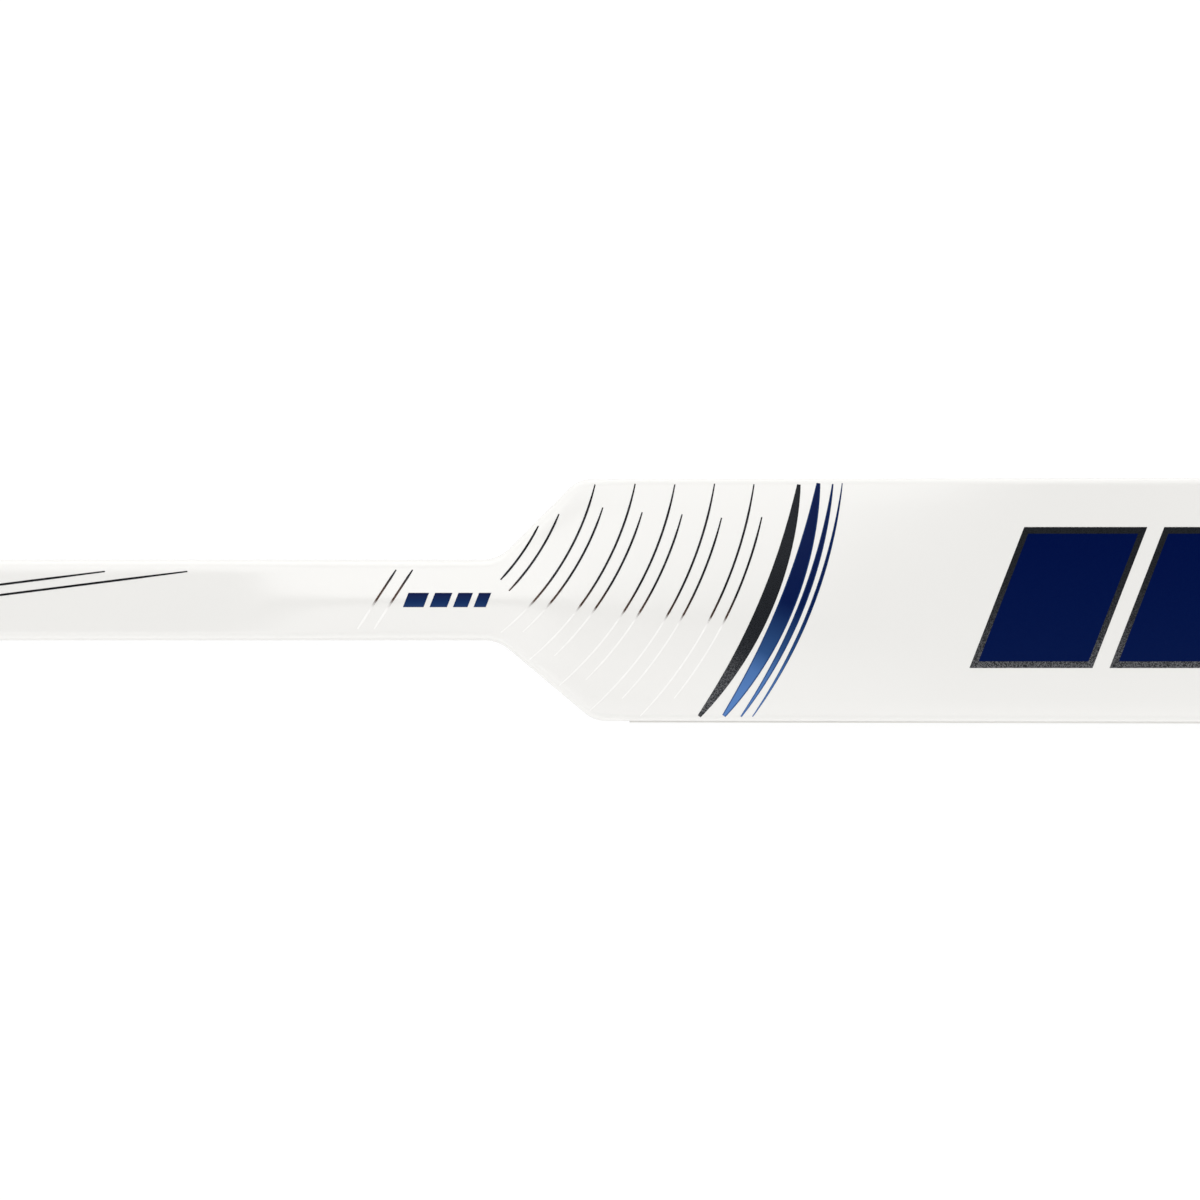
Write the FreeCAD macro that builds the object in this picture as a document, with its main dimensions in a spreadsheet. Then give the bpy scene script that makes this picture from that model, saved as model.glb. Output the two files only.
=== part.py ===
"""Ice-hockey goalkeeper's stick, lying on its back with the face of the paddle up.

X runs down the stick from the butt to the heel, Y across the paddle towards the side that the blade
points to, and Z out of the front face. The origin is on the back face, on the shaft's centre line,
level with the shoulder where the paddle reaches its full width.

The stick is a foam sandwich. A hollow shaft tube slides over a box spine, which runs down the middle
of the paddle into a heel block. Foam, edge rails and throat blocks fill the paddle around the spine,
and a skin closes each face. The blade is built in the same way around a rib that is let into the heel.
"""

import FreeCAD, Part
import math
import os

import Sketcher

# Driving dimensions, in millimetres and degrees.
SIZES = {
    # Shaft
    "shaft_width": 29.5,
    "shaft_thickness": 21,
    "shaft_length": 870,
    "shaft_edge_radius": 3,
    "laminate": 1.5,
    "butt_cap_thickness": 8,
    "butt_cap_radius": 2.5,
    "butt_plug_length": 45,
    # Five-sided grip just above the paddle
    "grip_length": 75,
    "grip_runout": 20,
    "ridge_rise": 2.2,
    "ridge_shoulder_rise": 1.2,
    "ridge_end_rise": 0.1,
    "ridge_shoulder_reach": 30,
    "ridge_shoulder_drift": 7,
    "ridge_end_reach": 36,
    "ridge_end_drift": 20,
    "ridge_fade": 133,
    # Throat and paddle
    "upper_shoulder_angle": 45,
    "lower_shoulder_angle": 40,
    "throat_radius": 14,
    "throat_lead": 2.2,
    "shoulder_radius": 11,
    "shoulder_width": 88,
    "heel_width": 90,
    "paddle_length": 625,
    "paddle_edge_radius": 1.3,
    "throat_block_reach": 13,
    "rail_width": 6,
    "rail_proud": 0.6,
    # Spine
    "spine_wall": 1.5,
    "spine_corner_radius": 2.5,
    "shaft_engagement": 80,
    "heel_engagement": 45,
    "bond_gap": 0.15,
    # Heel and blade
    "lie_angle": 65,
    "heel_stub": 95,
    "heel_radius": 20,
    "heel_lead": 10,
    "crotch_radius": 30,
    "blade_length": 390,
    "blade_height": 86,
    "blade_edge_radius": 1.2,
    "curve_lead": 10,
    "face_curve": 10,
    "toe_thickness": 9,
    "toe_drop": 6,
    "toe_rake": 6,
    "toe_lower_radius": 24,
    "toe_upper_radius": 38,
    "toe_cap_length": 60,
    "edge_strip_width": 6,
    "rib_width": 6,
    "rib_tenon": 25,
    # How far a blank reaches past what trims it
    "overrun": 5,
    # The most of a wall's thickness that the round on its edge may take
    "edge_round_share": 0.9,
}

POINT_TOLERANCE = 1e-4
UPRIGHT = FreeCAD.Vector(0, 0, 1)

document = FreeCAD.newDocument("goalkeeper_stick")
sheet = document.addObject("Spreadsheet::Sheet", "Sizes")
for row, (size_name, size_value) in enumerate(SIZES.items(), start=1):
    sheet.set(f"A{row}", size_name)
    sheet.set(f"B{row}", str(size_value))
    sheet.setAlias(f"B{row}", size_name)
document.recompute()

# Values worked out from the driving dimensions, as expressions on the sheet.
LIE_COS = "cos(Sizes.lie_angle * 1deg)"
LIE_SIN = "sin(Sizes.lie_angle * 1deg)"
HALF_SHAFT = "Sizes.shaft_width / 2"
HALF_SHOULDER = "Sizes.shoulder_width / 2"
HALF_HEEL = "Sizes.heel_width / 2"
FLARE = f"({HALF_SHOULDER} - {HALF_SHAFT})"
ROOT_X = f"-{FLARE} / tan(Sizes.lower_shoulder_angle * 1deg)"
UPPER_SHOULDER_X = f"({ROOT_X} + {FLARE} / tan(Sizes.upper_shoulder_angle * 1deg))"
THROAT_BEND = "Sizes.throat_radius * tan(Sizes.upper_shoulder_angle * 1deg / 2)"
JOINT_X = f"({ROOT_X} - {THROAT_BEND} - Sizes.throat_lead)"
BUTT_X = f"({JOINT_X} - Sizes.shaft_length)"
SEAM_X = "(Sizes.paddle_length - Sizes.heel_stub)"
CORE_HEIGHT = "(Sizes.shaft_thickness - 2 * Sizes.laminate)"
FRONT_SKIN_Z = "(Sizes.shaft_thickness - Sizes.laminate)"
HALF_BORE = f"({HALF_SHAFT} - Sizes.laminate)"
HALF_SPINE = f"({HALF_BORE} - Sizes.bond_gap)"
SPINE_SIDE = f"({HALF_SPINE} + Sizes.bond_gap)"
SPINE_LOW = "(Sizes.laminate + Sizes.bond_gap)"
SPINE_HIGH = f"({FRONT_SKIN_Z} - Sizes.bond_gap)"
INNER_RADIUS = "(Sizes.shaft_edge_radius - Sizes.laminate)"
PADDLE_EDGE = "min(Sizes.paddle_edge_radius; Sizes.laminate * Sizes.edge_round_share)"
BLADE_EDGE = "min(Sizes.blade_edge_radius; Sizes.laminate * Sizes.edge_round_share)"
INNER_CORNER_U = f"(Sizes.heel_width / {LIE_SIN} - Sizes.blade_height * {LIE_COS} / {LIE_SIN})"
HEEL_END_U = f"({INNER_CORNER_U} + Sizes.crotch_radius + Sizes.heel_lead)"
CURVE_START_U = f"({HEEL_END_U} + Sizes.curve_lead)"
BACK_CURVE = "(Sizes.face_curve + Sizes.shaft_thickness - Sizes.toe_thickness)"
TOE_TOP_U = "(Sizes.blade_length - Sizes.toe_rake)"
TOE_CAP_U = "(Sizes.blade_length - Sizes.toe_cap_length)"
TOE_HEIGHT = "(Sizes.blade_height - Sizes.toe_drop)"
RIB_LOW = "(Sizes.blade_height / 2 - Sizes.rib_width / 2)"
RIB_HIGH = "(Sizes.blade_height / 2 + Sizes.rib_width / 2)"
TENON_U = f"({HEEL_END_U} - Sizes.rib_tenon)"
BLANK_HEIGHT = f"(Sizes.shaft_thickness + {BACK_CURVE} + Sizes.overrun)"


def value(expression):
    """The number that an expression on the sheet gives."""
    return float(sheet.evalExpression(str(expression)))


def edge_y(x):
    """Half the paddle's width at x: its two long edges spread a little towards the heel."""
    return f"({HALF_SHOULDER} + ({HALF_HEEL} - {HALF_SHOULDER}) * ({x}) / {SEAM_X})"


def to_blade(along, across):
    """A point measured from the heel corner along the stick's X and Y, in the blade's own frame."""
    return (
        f"({LIE_COS} * ({along}) + {LIE_SIN} * ({across}))",
        f"({LIE_COS} * ({across}) - {LIE_SIN} * ({along}))",
    )


def top_edge_v(u):
    """Height of the blade's top edge at u, which falls from the inner corner to the toe."""
    run = f"({TOE_TOP_U} - {INNER_CORNER_U})"
    return f"(Sizes.blade_height - Sizes.toe_drop * (({u}) - {INNER_CORNER_U}) / {run})"


def toe_inside_u(v):
    """Where the inner wall of the toe cap is at height v: it leans with the toe."""
    lean = f"Sizes.toe_rake * (({v}) - Sizes.edge_strip_width) / {TOE_HEIGHT}"
    return f"(Sizes.blade_length - Sizes.edge_strip_width - {lean})"


# Sketches


def attach(body, name, role, offset):
    """A sketch on one of a body's own planes, moved along the plane's normal."""
    sketch = body.newObject("Sketcher::SketchObject", name)
    plane = next(item for item in body.Origin.OriginFeatures if item.Role == role)
    sketch.AttachmentSupport = (plane, "")
    sketch.MapMode = "FlatFace"
    sketch.setExpression("AttachmentOffset.Base.z", str(offset))
    return sketch


def bind(sketch, kind, geometry, point, expression):
    """One dimension of a sketch, bound to an expression."""
    if point is None:
        constraint = Sketcher.Constraint(kind, geometry, value(expression))
    else:
        constraint = Sketcher.Constraint(kind, geometry, point, value(expression))
    index = sketch.addConstraint(constraint)
    sketch.setExpression(f"Constraints[{index}]", str(expression))


def add_corner(sketch, incoming, outgoing, corner):
    """A sharp corner where two edges meet."""
    sketch.addConstraint(Sketcher.Constraint("Coincident", incoming, 2, outgoing, 1))
    bind(sketch, "DistanceX", outgoing, 1, corner[0])
    bind(sketch, "DistanceY", outgoing, 1, corner[1])


def add_rounded_corner(sketch, incoming, outgoing, corner, radius, bend):
    """An arc between two edges that would meet at a corner, which stays as a construction point."""
    enter, leave, centre, turns_left = bend
    begin, finish = (enter, leave) if turns_left else (leave, enter)
    begin_angle = math.atan2(begin.y - centre.y, begin.x - centre.x)
    sweep = (math.atan2(finish.y - centre.y, finish.x - centre.x) - begin_angle) % (2 * math.pi)
    circle = Part.Circle(centre, UPRIGHT, value(radius))
    arc = sketch.addGeometry(Part.ArcOfCircle(circle, begin_angle, begin_angle + sweep), False)
    first, second = (1, 2) if turns_left else (2, 1)
    sketch.addConstraint(Sketcher.Constraint("Tangent", incoming, 2, arc, first))
    sketch.addConstraint(Sketcher.Constraint("Tangent", arc, second, outgoing, 1))
    bind(sketch, "Radius", arc, None, radius)
    mark = sketch.addGeometry(Part.Point(FreeCAD.Vector(value(corner[0]), value(corner[1]), 0)), True)
    sketch.addConstraint(Sketcher.Constraint("PointOnObject", mark, 1, incoming))
    sketch.addConstraint(Sketcher.Constraint("PointOnObject", mark, 1, outgoing))
    bind(sketch, "DistanceX", mark, 1, corner[0])
    bind(sketch, "DistanceY", mark, 1, corner[1])


def bend_at(before, point, after, radius):
    """Where a rounded corner leaves its two edges, the centre of its arc and the way it turns."""
    incoming = (point - before).normalize()
    outgoing = (after - point).normalize()
    turn = incoming.getAngle(outgoing)
    reach = radius * math.tan(turn / 2)
    turns_left = incoming.cross(outgoing).z > 0
    inwards = FreeCAD.Vector(-incoming.y, incoming.x, 0) * (radius if turns_left else -radius)
    enter = point - incoming * reach
    return enter, point + outgoing * reach, enter + inwards, turns_left


def add_outline(sketch, corners, rounds=()):
    """A closed outline whose corners sit at pairs of expressions; rounds gives some of them a radius."""
    radii = dict(rounds)
    count = len(corners)
    points = [FreeCAD.Vector(value(x), value(y), 0) for x, y in corners]
    bends = []
    for index, corner in enumerate(corners):
        radius = value(radii.get(corner, 0))
        bends.append(bend_at(points[index - 1], points[index], points[(index + 1) % count], radius))
    lines = []
    for index in range(count):
        edge = Part.LineSegment(bends[index][1], bends[(index + 1) % count][0])
        lines.append(sketch.addGeometry(edge, False))
    for index, corner in enumerate(corners):
        incoming, outgoing = lines[index - 1], lines[index]
        if corner in radii:
            add_rounded_corner(sketch, incoming, outgoing, corner, radii[corner], bends[index])
        else:
            add_corner(sketch, incoming, outgoing, corner)


def rectangle(x_low, x_high, y_low, y_high):
    return [(x_low, y_low), (x_high, y_low), (x_high, y_high), (x_low, y_high)]


# Features


def pad(body, sketch, length, backwards=False):
    feature = body.newObject("PartDesign::Pad", sketch.Name + "_pad")
    feature.Profile = sketch
    feature.setExpression("Length", str(length))
    feature.Reversed = backwards
    document.recompute()
    return feature


def pocket_through(body, sketch):
    """Cuts a sketch's outline right through the body, both ways."""
    before = body.Shape.Volume
    feature = body.newObject("PartDesign::Pocket", sketch.Name + "_pocket")
    feature.Profile = sketch
    feature.Type = "ThroughAll"
    feature.Midplane = True
    document.recompute()
    if body.Shape.Volume >= before:
        raise RuntimeError(f"{feature.Name} cut nothing from {body.Label}")


def round_edges(body, wanted, radius):
    """Rounds the edges of the body's last feature that the given test accepts."""
    base = body.Tip
    names = [f"Edge{number}" for number, edge in enumerate(base.Shape.Edges, start=1) if wanted(edge)]
    if not names:
        raise RuntimeError(f"{body.Label} has no edge to round")
    feature = body.newObject("PartDesign::Fillet", body.Name + "_round")
    feature.Base = (base, names)
    feature.setExpression("Radius", str(radius))
    document.recompute()


def along_axis(edge, axis):
    """True for a straight edge that is parallel to an axis."""
    if not isinstance(edge.Curve, Part.Line):
        return False
    return abs(abs(edge.Curve.Direction.dot(axis)) - 1) < POINT_TOLERANCE


def at_height(edge, height):
    return all(abs(vertex.Z - height) < POINT_TOLERANCE for vertex in edge.Vertexes)


def on_plane_x(edge, x):
    return all(abs(vertex.X - x) < POINT_TOLERANCE for vertex in edge.Vertexes)


def ridge(body, stations):
    """A low roof along the front face. Each station is (x, lower foot, apex, upper foot, rise)."""
    sunk = f"({FRONT_SKIN_Z} + Sizes.laminate / 2)"
    sections = []
    for x, lower, apex, upper, rise in stations:
        sketch = attach(body, f"{body.Name}_ridge", "YZ_Plane", x)
        top = "Sizes.shaft_thickness"
        corners = [(lower, sunk), (upper, sunk), (upper, top), (apex, f"({top} + {rise})"), (lower, top)]
        add_outline(sketch, corners)
        sections.append(sketch)
    document.recompute()
    loft = body.newObject("PartDesign::AdditiveLoft", f"{body.Name}_ridge_loft")
    loft.Profile = sections[0]
    loft.Sections = sections[1:]
    loft.Ruled = True
    document.recompute()


def new_body(label):
    body = document.addObject("PartDesign::Body", label)
    body.Label = label
    return body


def plate(label, corners, bottom, height, rounds=()):
    """A flat piece: an outline padded upwards, with some of its upright corners rounded."""
    body = new_body(label)
    sketch = attach(body, f"{label}_outline", "XY_Plane", bottom)
    add_outline(sketch, corners, rounds)
    pad(body, sketch, height)
    return body


def set_on_blade(body):
    """Moves a piece from the blade's own frame, with U along the sole, to the heel corner."""
    body.Placement.Rotation = FreeCAD.Rotation(UPRIGHT, SIZES["lie_angle"])
    body.setExpression("Placement.Rotation.Angle", "Sizes.lie_angle")
    body.setExpression("Placement.Base.x", "Sizes.paddle_length")
    body.setExpression("Placement.Base.y", f"-{HALF_HEEL}")
    document.recompute()
    return body


def common(label, base, tool):
    shared = document.addObject("Part::Common", label)
    shared.Label = label
    shared.Base = base
    shared.Tool = tool
    document.recompute()
    return shared


# Shaft


def shaft_section():
    return rectangle(f"-{HALF_SHAFT}", HALF_SHAFT, 0, "Sizes.shaft_thickness")


def long_edges(body, radius, half_width):
    """Rounds the edges along X that stand at a distance from the centre line."""
    distance = value(half_width)

    def stands_there(edge):
        lengthwise = along_axis(edge, FreeCAD.Vector(1, 0, 0))
        return lengthwise and abs(abs(edge.Vertexes[0].Y) - distance) < POINT_TOLERANCE

    round_edges(body, stands_there, radius)


def shaft_foot():
    """Half the width of the flat that the shaft's rounded edges leave on its front."""
    return f"({HALF_SHAFT} - Sizes.shaft_edge_radius)"


def make_shaft_tube():
    body = new_body("shaft_tube")
    sketch = attach(body, "shaft_wall", "YZ_Plane", BUTT_X)
    add_outline(sketch, shaft_section())
    add_outline(sketch, rectangle(f"-{HALF_BORE}", HALF_BORE, "Sizes.laminate", FRONT_SKIN_Z))
    pad(body, sketch, "Sizes.shaft_length")
    long_edges(body, "Sizes.shaft_edge_radius", HALF_SHAFT)
    long_edges(body, INNER_RADIUS, HALF_BORE)
    foot = shaft_foot()
    full_x = f"({JOINT_X} - Sizes.grip_length)"
    start_x = f"({full_x} - Sizes.grip_runout)"
    ridge(
        body,
        [
            (start_x, f"-{foot}", 0, foot, "Sizes.ridge_end_rise"),
            (full_x, f"-{foot}", 0, foot, "Sizes.ridge_rise"),
            (JOINT_X, f"-{foot}", 0, foot, "Sizes.ridge_rise"),
        ],
    )
    return body


def make_butt_cap():
    body = new_body("butt_cap")
    cap = attach(body, "cap_section", "YZ_Plane", BUTT_X)
    add_outline(cap, shaft_section())
    pad(body, cap, "Sizes.butt_cap_thickness", backwards=True)
    long_edges(body, "Sizes.shaft_edge_radius", HALF_SHAFT)
    end_x = value(f"{BUTT_X} - Sizes.butt_cap_thickness")
    rim = "min(Sizes.butt_cap_radius; Sizes.shaft_edge_radius * Sizes.edge_round_share)"
    round_edges(body, lambda edge: on_plane_x(edge, end_x), rim)
    plug = attach(body, "plug_section", "YZ_Plane", BUTT_X)
    add_outline(plug, rectangle(f"-{HALF_SPINE}", HALF_SPINE, SPINE_LOW, SPINE_HIGH))
    pad(body, plug, "Sizes.butt_plug_length")
    long_edges(body, "Sizes.spine_corner_radius", HALF_SPINE)
    return body


def make_paddle_spine():
    body = new_body("paddle_spine")
    sketch = attach(body, "spine_wall_section", "YZ_Plane", f"({JOINT_X} - Sizes.shaft_engagement)")
    half_inside = f"({HALF_SPINE} - Sizes.spine_wall)"
    inside = rectangle(
        f"-{half_inside}",
        half_inside,
        f"({SPINE_LOW} + Sizes.spine_wall)",
        f"({SPINE_HIGH} - Sizes.spine_wall)",
    )
    add_outline(sketch, rectangle(f"-{HALF_SPINE}", HALF_SPINE, SPINE_LOW, SPINE_HIGH))
    add_outline(sketch, inside)
    reach = f"({SEAM_X} + Sizes.heel_engagement - {JOINT_X} + Sizes.shaft_engagement)"
    pad(body, sketch, reach)
    long_edges(body, "Sizes.spine_corner_radius", HALF_SPINE)
    return body


# Paddle


def paddle_corners():
    """The paddle in plan, from the upper end of the shaft joint round to its lower end."""
    return [
        (JOINT_X, HALF_SHAFT),
        (ROOT_X, HALF_SHAFT),
        (UPPER_SHOULDER_X, edge_y(UPPER_SHOULDER_X)),
        (SEAM_X, HALF_HEEL),
        (SEAM_X, f"-{HALF_HEEL}"),
        (0, f"-{HALF_SHOULDER}"),
        (ROOT_X, f"-{HALF_SHAFT}"),
        (JOINT_X, f"-{HALF_SHAFT}"),
    ]


def paddle_rounds():
    corners = paddle_corners()
    return [
        (corners[1], "Sizes.throat_radius"),
        (corners[2], "Sizes.shoulder_radius"),
        (corners[5], "Sizes.shoulder_radius"),
        (corners[6], "Sizes.throat_radius"),
    ]


def outer_rim(height):
    """A test for the edges of a paddle skin at a height, without those at the two joints."""
    level = value(height)
    joint, seam = value(JOINT_X), value(SEAM_X)

    def on_rim(edge):
        at_a_joint = on_plane_x(edge, joint) or on_plane_x(edge, seam)
        return at_height(edge, level) and not at_a_joint

    return on_rim


def make_paddle_front_skin():
    body = plate("paddle_front_skin", paddle_corners(), FRONT_SKIN_Z, "Sizes.laminate", paddle_rounds())
    round_edges(body, outer_rim("Sizes.shaft_thickness"), PADDLE_EDGE)
    foot = shaft_foot()
    ridge(
        body,
        [
            (JOINT_X, f"-{foot}", 0, foot, "Sizes.ridge_rise"),
            (ROOT_X, f"-{foot}", 0, foot, "Sizes.ridge_rise"),
            (
                0,
                "-Sizes.ridge_shoulder_reach",
                "-Sizes.ridge_shoulder_drift",
                "Sizes.ridge_shoulder_reach",
                "Sizes.ridge_shoulder_rise",
            ),
            (
                "Sizes.ridge_fade",
                "-Sizes.ridge_end_reach",
                "-Sizes.ridge_end_drift",
                "Sizes.ridge_end_reach",
                "Sizes.ridge_end_rise",
            ),
        ],
    )
    return body


def make_paddle_back_skin():
    body = plate("paddle_back_skin", paddle_corners(), 0, "Sizes.laminate", paddle_rounds())
    round_edges(body, outer_rim("0"), PADDLE_EDGE)
    return body


def make_throat_block(label, side, shoulder_x):
    """Hard filler between the spine and the flare on one side: side is empty above, a minus below."""
    root = (ROOT_X, f"{side}{HALF_SHAFT}")
    shoulder = (shoulder_x, f"{side}{edge_y(shoulder_x)}")
    end = "Sizes.throat_block_reach"
    corners = [
        (JOINT_X, f"{side}{HALF_SHAFT}"),
        root,
        shoulder,
        (end, f"{side}{edge_y(end)}"),
        (end, f"{side}{SPINE_SIDE}"),
        (JOINT_X, f"{side}{SPINE_SIDE}"),
    ]
    rounds = [(root, "Sizes.throat_radius"), (shoulder, "Sizes.shoulder_radius")]
    return plate(label, corners, "Sizes.laminate", CORE_HEIGHT, rounds)


def make_rail(label, side, proud):
    start = "Sizes.throat_block_reach"
    corners = [
        (start, f"{side}({edge_y(start)} - Sizes.rail_width)"),
        (SEAM_X, f"{side}({HALF_HEEL} - Sizes.rail_width)"),
        (SEAM_X, f"{side}({HALF_HEEL} + {proud})"),
        (start, f"{side}({edge_y(start)} + {proud})"),
    ]
    return plate(label, corners, "Sizes.laminate", CORE_HEIGHT)


def make_foam_core(label, side):
    start = "Sizes.throat_block_reach"
    corners = [
        (start, f"{side}{SPINE_SIDE}"),
        (SEAM_X, f"{side}{SPINE_SIDE}"),
        (SEAM_X, f"{side}({HALF_HEEL} - Sizes.rail_width)"),
        (start, f"{side}({edge_y(start)} - Sizes.rail_width)"),
    ]
    return plate(label, corners, "Sizes.laminate", CORE_HEIGHT)


# Blade, in its own frame: U along the sole from the heel corner, V up from the sole

HEEL_CORNER = (0, 0)
INNER_CORNER = (INNER_CORNER_U, "Sizes.blade_height")
TOE_LOWER_CORNER = ("Sizes.blade_length", 0)
TOE_UPPER_CORNER = (TOE_TOP_U, TOE_HEIGHT)
STUB_LOWER = to_blade("-Sizes.heel_stub", 0)
STUB_UPPER = to_blade("-Sizes.heel_stub", "Sizes.heel_width")


def blade_corners():
    """The blade and heel in plan, anticlockwise from the heel corner."""
    return [HEEL_CORNER, TOE_LOWER_CORNER, TOE_UPPER_CORNER, INNER_CORNER, STUB_UPPER, STUB_LOWER]


def blade_rounds():
    return [
        (HEEL_CORNER, "Sizes.heel_radius"),
        (TOE_LOWER_CORNER, "Sizes.toe_lower_radius"),
        (TOE_UPPER_CORNER, "Sizes.toe_upper_radius"),
        (INNER_CORNER, "Sizes.crotch_radius"),
    ]


def curve_radius(depth):
    """Radius of an arc that leaves the flat heel and has risen by a depth at the toe."""
    run = f"(Sizes.blade_length - {CURVE_START_U})"
    return f"(({run} ^ 2 + ({depth}) ^ 2) / (2 * ({depth})))"


def add_curved_edge(sketch, level, depth, end_u):
    """A flat run along the heel and the arc that curls up from it towards the toe."""
    start_u = f"({STUB_LOWER[0]} - Sizes.overrun)"
    bend_u, radius = value(CURVE_START_U), value(curve_radius(depth))
    height = value(level)
    centre = FreeCAD.Vector(bend_u, height + radius, 0)
    sweep = math.asin((value(end_u) - bend_u) / radius)
    flat = Part.LineSegment(FreeCAD.Vector(value(start_u), height, 0), FreeCAD.Vector(bend_u, height, 0))
    circle = Part.Circle(centre, UPRIGHT, radius)
    line = sketch.addGeometry(flat, False)
    arc = sketch.addGeometry(Part.ArcOfCircle(circle, -math.pi / 2, sweep - math.pi / 2), False)
    sketch.addConstraint(Sketcher.Constraint("Horizontal", line))
    sketch.addConstraint(Sketcher.Constraint("Tangent", line, 2, arc, 1))
    bind(sketch, "DistanceX", line, 1, start_u)
    bind(sketch, "DistanceY", line, 1, level)
    bind(sketch, "DistanceX", line, 2, CURVE_START_U)
    bind(sketch, "Radius", arc, None, curve_radius(depth))
    bind(sketch, "DistanceX", arc, 2, end_u)
    return line, arc


def curved_sheet(label, low, low_depth, high, high_depth):
    """A sheet as wide as the blade: its two faces follow the flat heel and curl at the toe."""
    body = new_body(label)
    sketch = attach(body, f"{label}_profile", "XZ_Plane", "Sizes.overrun")
    end_u = "(Sizes.blade_length + Sizes.overrun)"
    low_line, low_arc = add_curved_edge(sketch, low, low_depth, end_u)
    high_line, high_arc = add_curved_edge(sketch, high, high_depth, end_u)
    joins = ((low_line, 1, high_line, 1), (low_arc, 2, high_arc, 2))
    for first, first_end, second, second_end in joins:
        start = sketch.getPoint(first, first_end)
        finish = sketch.getPoint(second, second_end)
        across = sketch.addGeometry(Part.LineSegment(start, finish), False)
        sketch.addConstraint(Sketcher.Constraint("Coincident", across, 1, first, first_end))
        sketch.addConstraint(Sketcher.Constraint("Coincident", across, 2, second, second_end))
    pad(body, sketch, f"({STUB_UPPER[1]} + 2 * Sizes.overrun)", backwards=True)
    return body


def looks_along_z(face, way):
    """True for a face that looks mostly up, where way is 1, or mostly down, where it is -1."""
    u_low, u_high, v_low, v_high = face.ParameterRange
    normal = face.normalAt((u_low + u_high) / 2, (v_low + v_high) / 2)
    return normal.z * way > abs(normal.x) + abs(normal.y)


def blade_rim(body, way):
    """A test for the edges round a blade skin's outer face, without those at the paddle joint."""
    uses = {}
    for face in body.Tip.Shape.Faces:
        if looks_along_z(face, way):
            for edge in face.Edges:
                uses[edge.hashCode()] = uses.get(edge.hashCode(), 0) + 1
    lie = math.radians(value("Sizes.lie_angle"))
    joint = -value("Sizes.heel_stub")

    def at_joint(point):
        return abs(point.x * math.cos(lie) - point.y * math.sin(lie) - joint) < POINT_TOLERANCE

    def on_rim(edge):
        ends_at_joint = all(at_joint(vertex.Point) for vertex in edge.Vertexes)
        return uses.get(edge.hashCode()) == 1 and not ends_at_joint

    return on_rim


def make_blade_skin(label, low, high, depth, way):
    """A curved sheet trimmed to the blade's outline and rounded round its outer face."""
    body = curved_sheet(label, low, depth, high, depth)
    plan = attach(body, f"{label}_plan", "XY_Plane", 0)
    outside = rectangle(
        f"({STUB_LOWER[0]} - 2 * Sizes.overrun)",
        "(Sizes.blade_length + 2 * Sizes.overrun)",
        "-2 * Sizes.overrun",
        f"({STUB_UPPER[1]} + 2 * Sizes.overrun)",
    )
    add_outline(plan, outside)
    add_outline(plan, blade_corners(), blade_rounds())
    pocket_through(body, plan)
    round_edges(body, blade_rim(body, way), BLADE_EDGE)
    return set_on_blade(body)


def make_heel_block():
    """Solid heel, with a socket for the end of the spine and a slot for the blade's rib."""
    corners = [
        HEEL_CORNER,
        (HEEL_END_U, 0),
        (HEEL_END_U, top_edge_v(HEEL_END_U)),
        INNER_CORNER,
        STUB_UPPER,
        STUB_LOWER,
    ]
    rounds = [(HEEL_CORNER, "Sizes.heel_radius"), (INNER_CORNER, "Sizes.crotch_radius")]
    body = plate("heel_block", corners, "Sizes.laminate", CORE_HEIGHT, rounds)
    mouth = "(-Sizes.heel_stub - Sizes.overrun)"
    bottom = "(-Sizes.heel_stub + Sizes.heel_engagement + Sizes.bond_gap)"
    low, high = f"({HALF_HEEL} - {SPINE_SIDE})", f"({HALF_HEEL} + {SPINE_SIDE})"
    socket = attach(body, "spine_socket", "XY_Plane", 0)
    add_outline(socket, [to_blade(along, across) for along, across in rectangle(mouth, bottom, low, high)])
    pocket_through(body, socket)
    slot = attach(body, "rib_slot", "XY_Plane", 0)
    slot_start = f"({TENON_U} - Sizes.bond_gap)"
    slot_end = f"({HEEL_END_U} + Sizes.overrun)"
    low, high = f"({RIB_LOW} - Sizes.bond_gap)", f"({RIB_HIGH} + Sizes.bond_gap)"
    add_outline(slot, rectangle(slot_start, slot_end, low, high))
    pocket_through(body, slot)
    return set_on_blade(body)


def upright_blank(label, corners, rounds=()):
    """A blank for a piece of the blade, tall enough to reach through the curved core layer."""
    return set_on_blade(plate(label, corners, "-Sizes.overrun", BLANK_HEIGHT, rounds))


def top_strip_v(u):
    """Height of the top strip's lower side at u."""
    return f"({top_edge_v(u)} - Sizes.edge_strip_width)"


def make_strip(label, layer, low, high):
    """A run of edge strip from the heel block to the toe cap; low and high give its heights at u."""
    corners = [
        (HEEL_END_U, low(HEEL_END_U)),
        (TOE_CAP_U, low(TOE_CAP_U)),
        (TOE_CAP_U, high(TOE_CAP_U)),
        (HEEL_END_U, high(HEEL_END_U)),
    ]
    return common(label, upright_blank(f"{label}_blank", corners), layer)


def make_core_area():
    """What the heel block, the edge strips and the toe cap enclose, and the slot for the rib."""
    low = (toe_inside_u("Sizes.edge_strip_width"), "Sizes.edge_strip_width")
    high_u = toe_inside_u(f"({TOE_HEIGHT} - Sizes.edge_strip_width)")
    high = (high_u, top_strip_v(high_u))
    corners = [(TENON_U, "Sizes.edge_strip_width"), low, high, (TENON_U, top_strip_v(TENON_U))]
    rounds = [
        (low, "(Sizes.toe_lower_radius - Sizes.edge_strip_width)"),
        (high, "(Sizes.toe_upper_radius - Sizes.edge_strip_width)"),
    ]
    return upright_blank("core_area", corners, rounds)


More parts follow.
